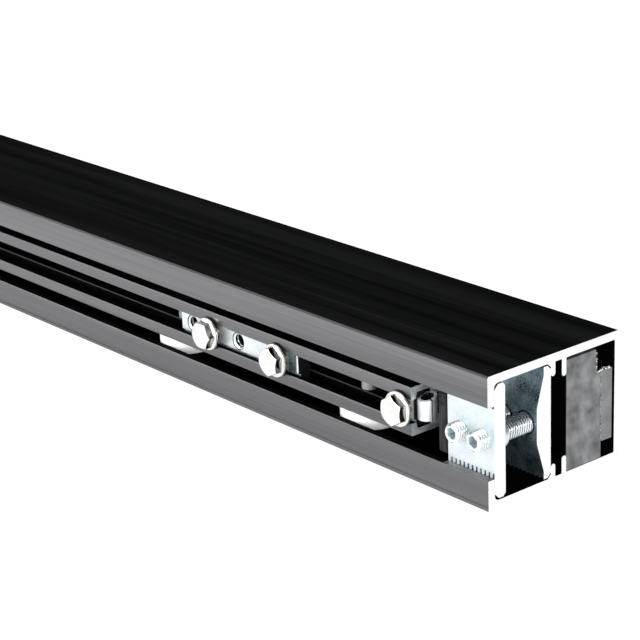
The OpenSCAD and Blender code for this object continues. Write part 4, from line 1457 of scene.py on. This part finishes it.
@dataclass(frozen=True)
class Roller:
    """One roller's tyre: a ring with round edges and a seat for its bearing."""

    index: int
    lip_r: float = 10.3
    lip_edge: float = 0.15
    seat_r: float = 11.05
    seat: float = 0.95
    seat_edge: float = 0.05
    tread_edge: float = 0.8
    columns: int = 96

    def build(self, bench: Bench) -> None:
        """Turns the ring's outline round the axle's line.

        Args:
            bench: Where the piece is made.
        """
        node = f"roller_tyre_{self.index}"
        box = NodeBox.of(node)
        outer = box.size[X] / 2
        wide = box.size[Z]
        section = rounded([
            (outer, 0.0, self.tread_edge), (outer, wide, self.tread_edge), (self.lip_r, wide, self.lip_edge),
            (self.lip_r, wide - self.seat, self.seat_edge), (self.seat_r, wide - self.seat, self.seat_edge),
            (self.seat_r, self.seat, self.seat_edge), (self.lip_r, self.seat, self.seat_edge),
            (self.lip_r, 0.0, self.lip_edge),
        ])
        at = (box.middle[X], box.middle[U], box.low[Z])
        ring = lathe(section[:, :1], section[:, 1:], angles(self.columns), at, Z, closed=True)
        bench.piece(f"roller_{self.index}_ring", ring, f"roller_{self.index}", "nylon", [node], NYLON)


@dataclass(frozen=True)
class StatorModule:
    """One stator module: a potted block with a key strip behind it and a cable notch in its outer end."""

    end: End
    notch_length: float = 14.0
    notch_depth: float = 3.7
    notch_height: float = 11.7
    key_skin: float = 0.02
    rag: float = 1.3
    rag_points: int = 48
    rag_edge: float = 0.01
    least_tear: float = 0.1
    proud: float = 0.12
    seam_width: float = 0.1
    seam_tear: float = 0.45

    def notched(self, box: NodeBox, depth: float, height: float) -> Surface:
        """A box whose upper rear corner point moves in at the notch.

        Args:
            box: The block's box.
            depth: Depth of the notch.
            height: Height of the notch.

        Returns:
            The closed surface, with its front and the notch's walls under finish number 1.
        """
        low, high = box.low, box.high
        outline = np.array([
            (low[U], low[Z]), (high[U], low[Z]), (high[U], high[Z] - height), (high[U], high[Z]),
            (high[U] - depth, high[Z]), (low[U], high[Z]),
        ])
        # The upper rear corner's number, and that of the run down the front.
        corner, front = 3, 5
        cut = outline.copy()
        cut[corner] = (high[U] - depth, high[Z] - height)
        start = high[X] - self.notch_length
        station = np.array([low[X], start, start, high[X]])
        rows = swept(station, np.stack([outline, outline, cut, cut]))
        dark = np.zeros((len(station) - 1, len(outline)), bool)
        dark[:, front] = True
        dark[1:, corner - 1:corner + 1] = True
        return join(grid(rows), cap(rows[0]), cap(rows[-1])).repainted(dark.ravel(), 1)

    def ragged(self, first: tuple[float, float], last: tuple[float, float], width: float, tear: float,
               end: float, number: int) -> Surface:
        """A thin rough strip on the module's end face, straight on one side and torn on the other.

        Args:
            first: Where the strip starts, as u and z.
            last: Where it ends.
            width: Distance of its straight side from the line.
            tear: Greatest distance of its torn side from the line.
            end: Place of the end face along x.
            number: Its finish number, which also starts the row of random tears.

        Returns:
            The closed surface.
        """
        share = np.linspace(0, 1, self.rag_points)[:, None]
        line = np.array(first) + share * (np.array(last) - first)
        run = np.subtract(last, first) / np.linalg.norm(np.subtract(last, first))
        across = np.array([-run[1], run[0]])
        tears = np.random.default_rng(number).uniform(self.least_tear, 1.0, (len(share), 1)) * tear
        outline = np.concatenate([line - width * across, (line + tears * across)[::-1]])
        return prism(outline, end - self.rag, end + self.proud, self.rag_edge).painted(number)

    def build(self, bench: Bench) -> None:
        """Makes the potted block and the key, mirrored at the far end.

        Args:
            bench: Where the pieces are made.
        """
        block = NodeBox.of("near_stator_potting")
        key = NodeBox.of("near_stator_key")
        end = block.high[X]
        corner = (block.high[U] - self.notch_depth, block.high[Z] - self.notch_height)
        drop = key.high[Z] - corner[1]
        wall = self.ragged((corner[0], block.high[Z] - self.rag), corner, self.seam_width, self.rag, end, 2)
        floor = self.ragged((key.high[U] - self.rag, corner[1]), corner, self.seam_width, -self.rag, end, 2)
        seam = self.ragged((key.low[U], key.low[Z]), (key.low[U], corner[1]), 0.0, self.seam_tear, end, 3)
        potting = self.notched(block, self.notch_depth, self.notch_height)
        strip = self.notched(key, key.size[U] - self.key_skin, drop)
        made = {
            "potting": (join(potting, wall), "potting", (POTTING, SHADED, SEAM)),
            "key": (join(strip, floor, seam), "key_steel", (KEY, SHADED, TORN, SEAM)),
        }
        for part, (surface, slot, finishes) in made.items():
            node = f"{self.end.label}_stator_{part}"
            bench.piece(f"{node}_block", surface.at(self.end), "housing", slot, [node], *finishes)


@dataclass(frozen=True)
class Softbox:
    """A wide light that is far away, by where it stands round the part and how large it looks."""

    name: str
    azimuth: float
    elevation: float
    strength: float
    spread: float

    def hang(self) -> None:
        """Adds the light, pointed at the part."""
        azimuth, elevation = math.radians(self.azimuth), math.radians(self.elevation)
        source = Vector((math.sin(azimuth) * math.cos(elevation), -math.cos(azimuth) * math.cos(elevation),
                         math.sin(elevation)))
        light = bpy.data.lights.new(self.name, "SUN")
        light.energy = self.strength
        light.angle = math.radians(self.spread)
        lamp = bpy.data.objects.new(self.name, light)
        lamp.rotation_mode = "QUATERNION"
        lamp.rotation_quaternion = (-source).to_track_quat("-Z", "Y")
        bpy.context.scene.collection.objects.link(lamp)


SOFTBOXES = (
    Softbox("overhead_softbox", -30.0, 58.0, 2.0, 45.0),
    Softbox("front_softbox", 0.0, 10.0, 2.4, 40.0),
    Softbox("left_softbox", -45.0, 12.0, 0.8, 24.0),
    Softbox("end_softbox", 70.0, 12.0, 3.0, 30.0),
)


@dataclass(frozen=True)
class Studio:
    """A pale floor, soft light and the camera of the photograph."""

    aim: Triple = (486.245, 0.0, 63.473)
    distance: float = 983.5
    yaw: float = 50.5513
    pitch: float = 19.5736
    roll: float = -2.2331
    lens: float = 115.565
    sensor: float = 36.0
    clip: float = 10.0
    floor_size: float = 60000.0
    floor_drop: float = 0.2
    sky: Tone = (0.008, 0.008, 0.009)

    def camera(self, slot_face: float) -> None:
        """Places the camera by its aim, distance, yaw, pitch and roll.

        Args:
            slot_face: Place of the slot face along y, in metres.
        """
        yaw, pitch, roll = (math.radians(a) for a in (self.yaw, self.pitch, self.roll))
        ahead = Vector((-math.sin(yaw) * math.cos(pitch), math.cos(yaw) * math.cos(pitch), -math.sin(pitch)))
        level = Vector((math.cos(yaw), math.sin(yaw), 0.0))
        upright = level.cross(ahead)
        right = math.cos(roll) * level + math.sin(roll) * upright
        up = math.cos(roll) * upright - math.sin(roll) * level
        place = Vector(self.aim) * MM + Vector((0, slot_face, 0)) - ahead * self.distance * MM
        camera = bpy.data.cameras.new("photo_camera")
        camera.lens = self.lens
        camera.sensor_width = self.sensor
        camera.clip_start = self.clip * MM
        stand = bpy.data.objects.new("photo_camera", camera)
        turned = Matrix((right, up, -ahead)).transposed().to_4x4()
        stand.matrix_world = Matrix.Translation(place) @ turned
        bpy.context.scene.collection.objects.link(stand)
        bpy.context.scene.camera = stand

    def light(self) -> None:
        """Hangs the soft lights and leaves the rest of the room dark."""
        for softbox in SOFTBOXES:
            softbox.hang()
        world = bpy.data.worlds.new("dark_room")
        world.use_nodes = True
        world.node_tree.nodes["Background"].inputs["Color"].default_value = (*self.sky, 1.0)
        bpy.context.scene.world = world
        bpy.context.scene.view_settings.view_transform = "Standard"

    def floor(self, bench: Bench) -> None:
        """Lays a square floor just under the part.

        Args:
            bench: Where the floor is made.
        """
        half = self.floor_size / 2
        side = np.array([-half, half])
        x, u = np.meshgrid(side, side)
        points = np.stack([x, u, np.full_like(x, -self.floor_drop)], axis=-1)
        made = bench.mesh("studio_floor", grid(points, wrap=False), [FLOOR])


CARRIED = {
    "near_stator_core": LAMINATION, "far_stator_core": LAMINATION,
    "near_stator_coils": COPPER, "far_stator_coils": COPPER,
    "sensor_board": BOARD, "position_sensors": SENSOR,
    "magnet_plate": LAMINATION, "magnets": NICKEL, "magnet_plate_screws": STEEL,
    "axles": AXLE, "axle_spacers": STEEL, "axle_clips": STEEL,
    "bearing_inner_rings": STEEL, "bearing_balls": STEEL,
    **{f"bearing_outer_ring_{index}": STEEL for index in ROLLERS},
}


def main() -> None:
    """Builds the sub-assemblies in order, dresses the rest of the frame and sets up the studio."""
    logging.basicConfig(level=logging.INFO, format="%(name)s: %(message)s")
    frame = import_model()
    bench = Bench(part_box("housing")[0].y)
    assemblies = [Housing(), Beam(), StrikerBolts()]
    for end in End:
        assemblies += [StatorModule(end), EndStop(end), Hanger(end), Striker(end)]
    assemblies += [Roller(index) for index in ROLLERS]
    for assembly in assemblies:
        assembly.build(bench)
    for node, finish in CARRIED.items():
        carried = frame["nodes"][node].data
        carried.materials.clear()
        carried.materials.append(bench.finish(finish))
        LOG.info("%s: carried over in %s", node, finish.name)
    studio = Studio()
    studio.floor(bench)
    studio.light()
    studio.camera(bench.slot_face)


if __name__ == "__main__":
    main()
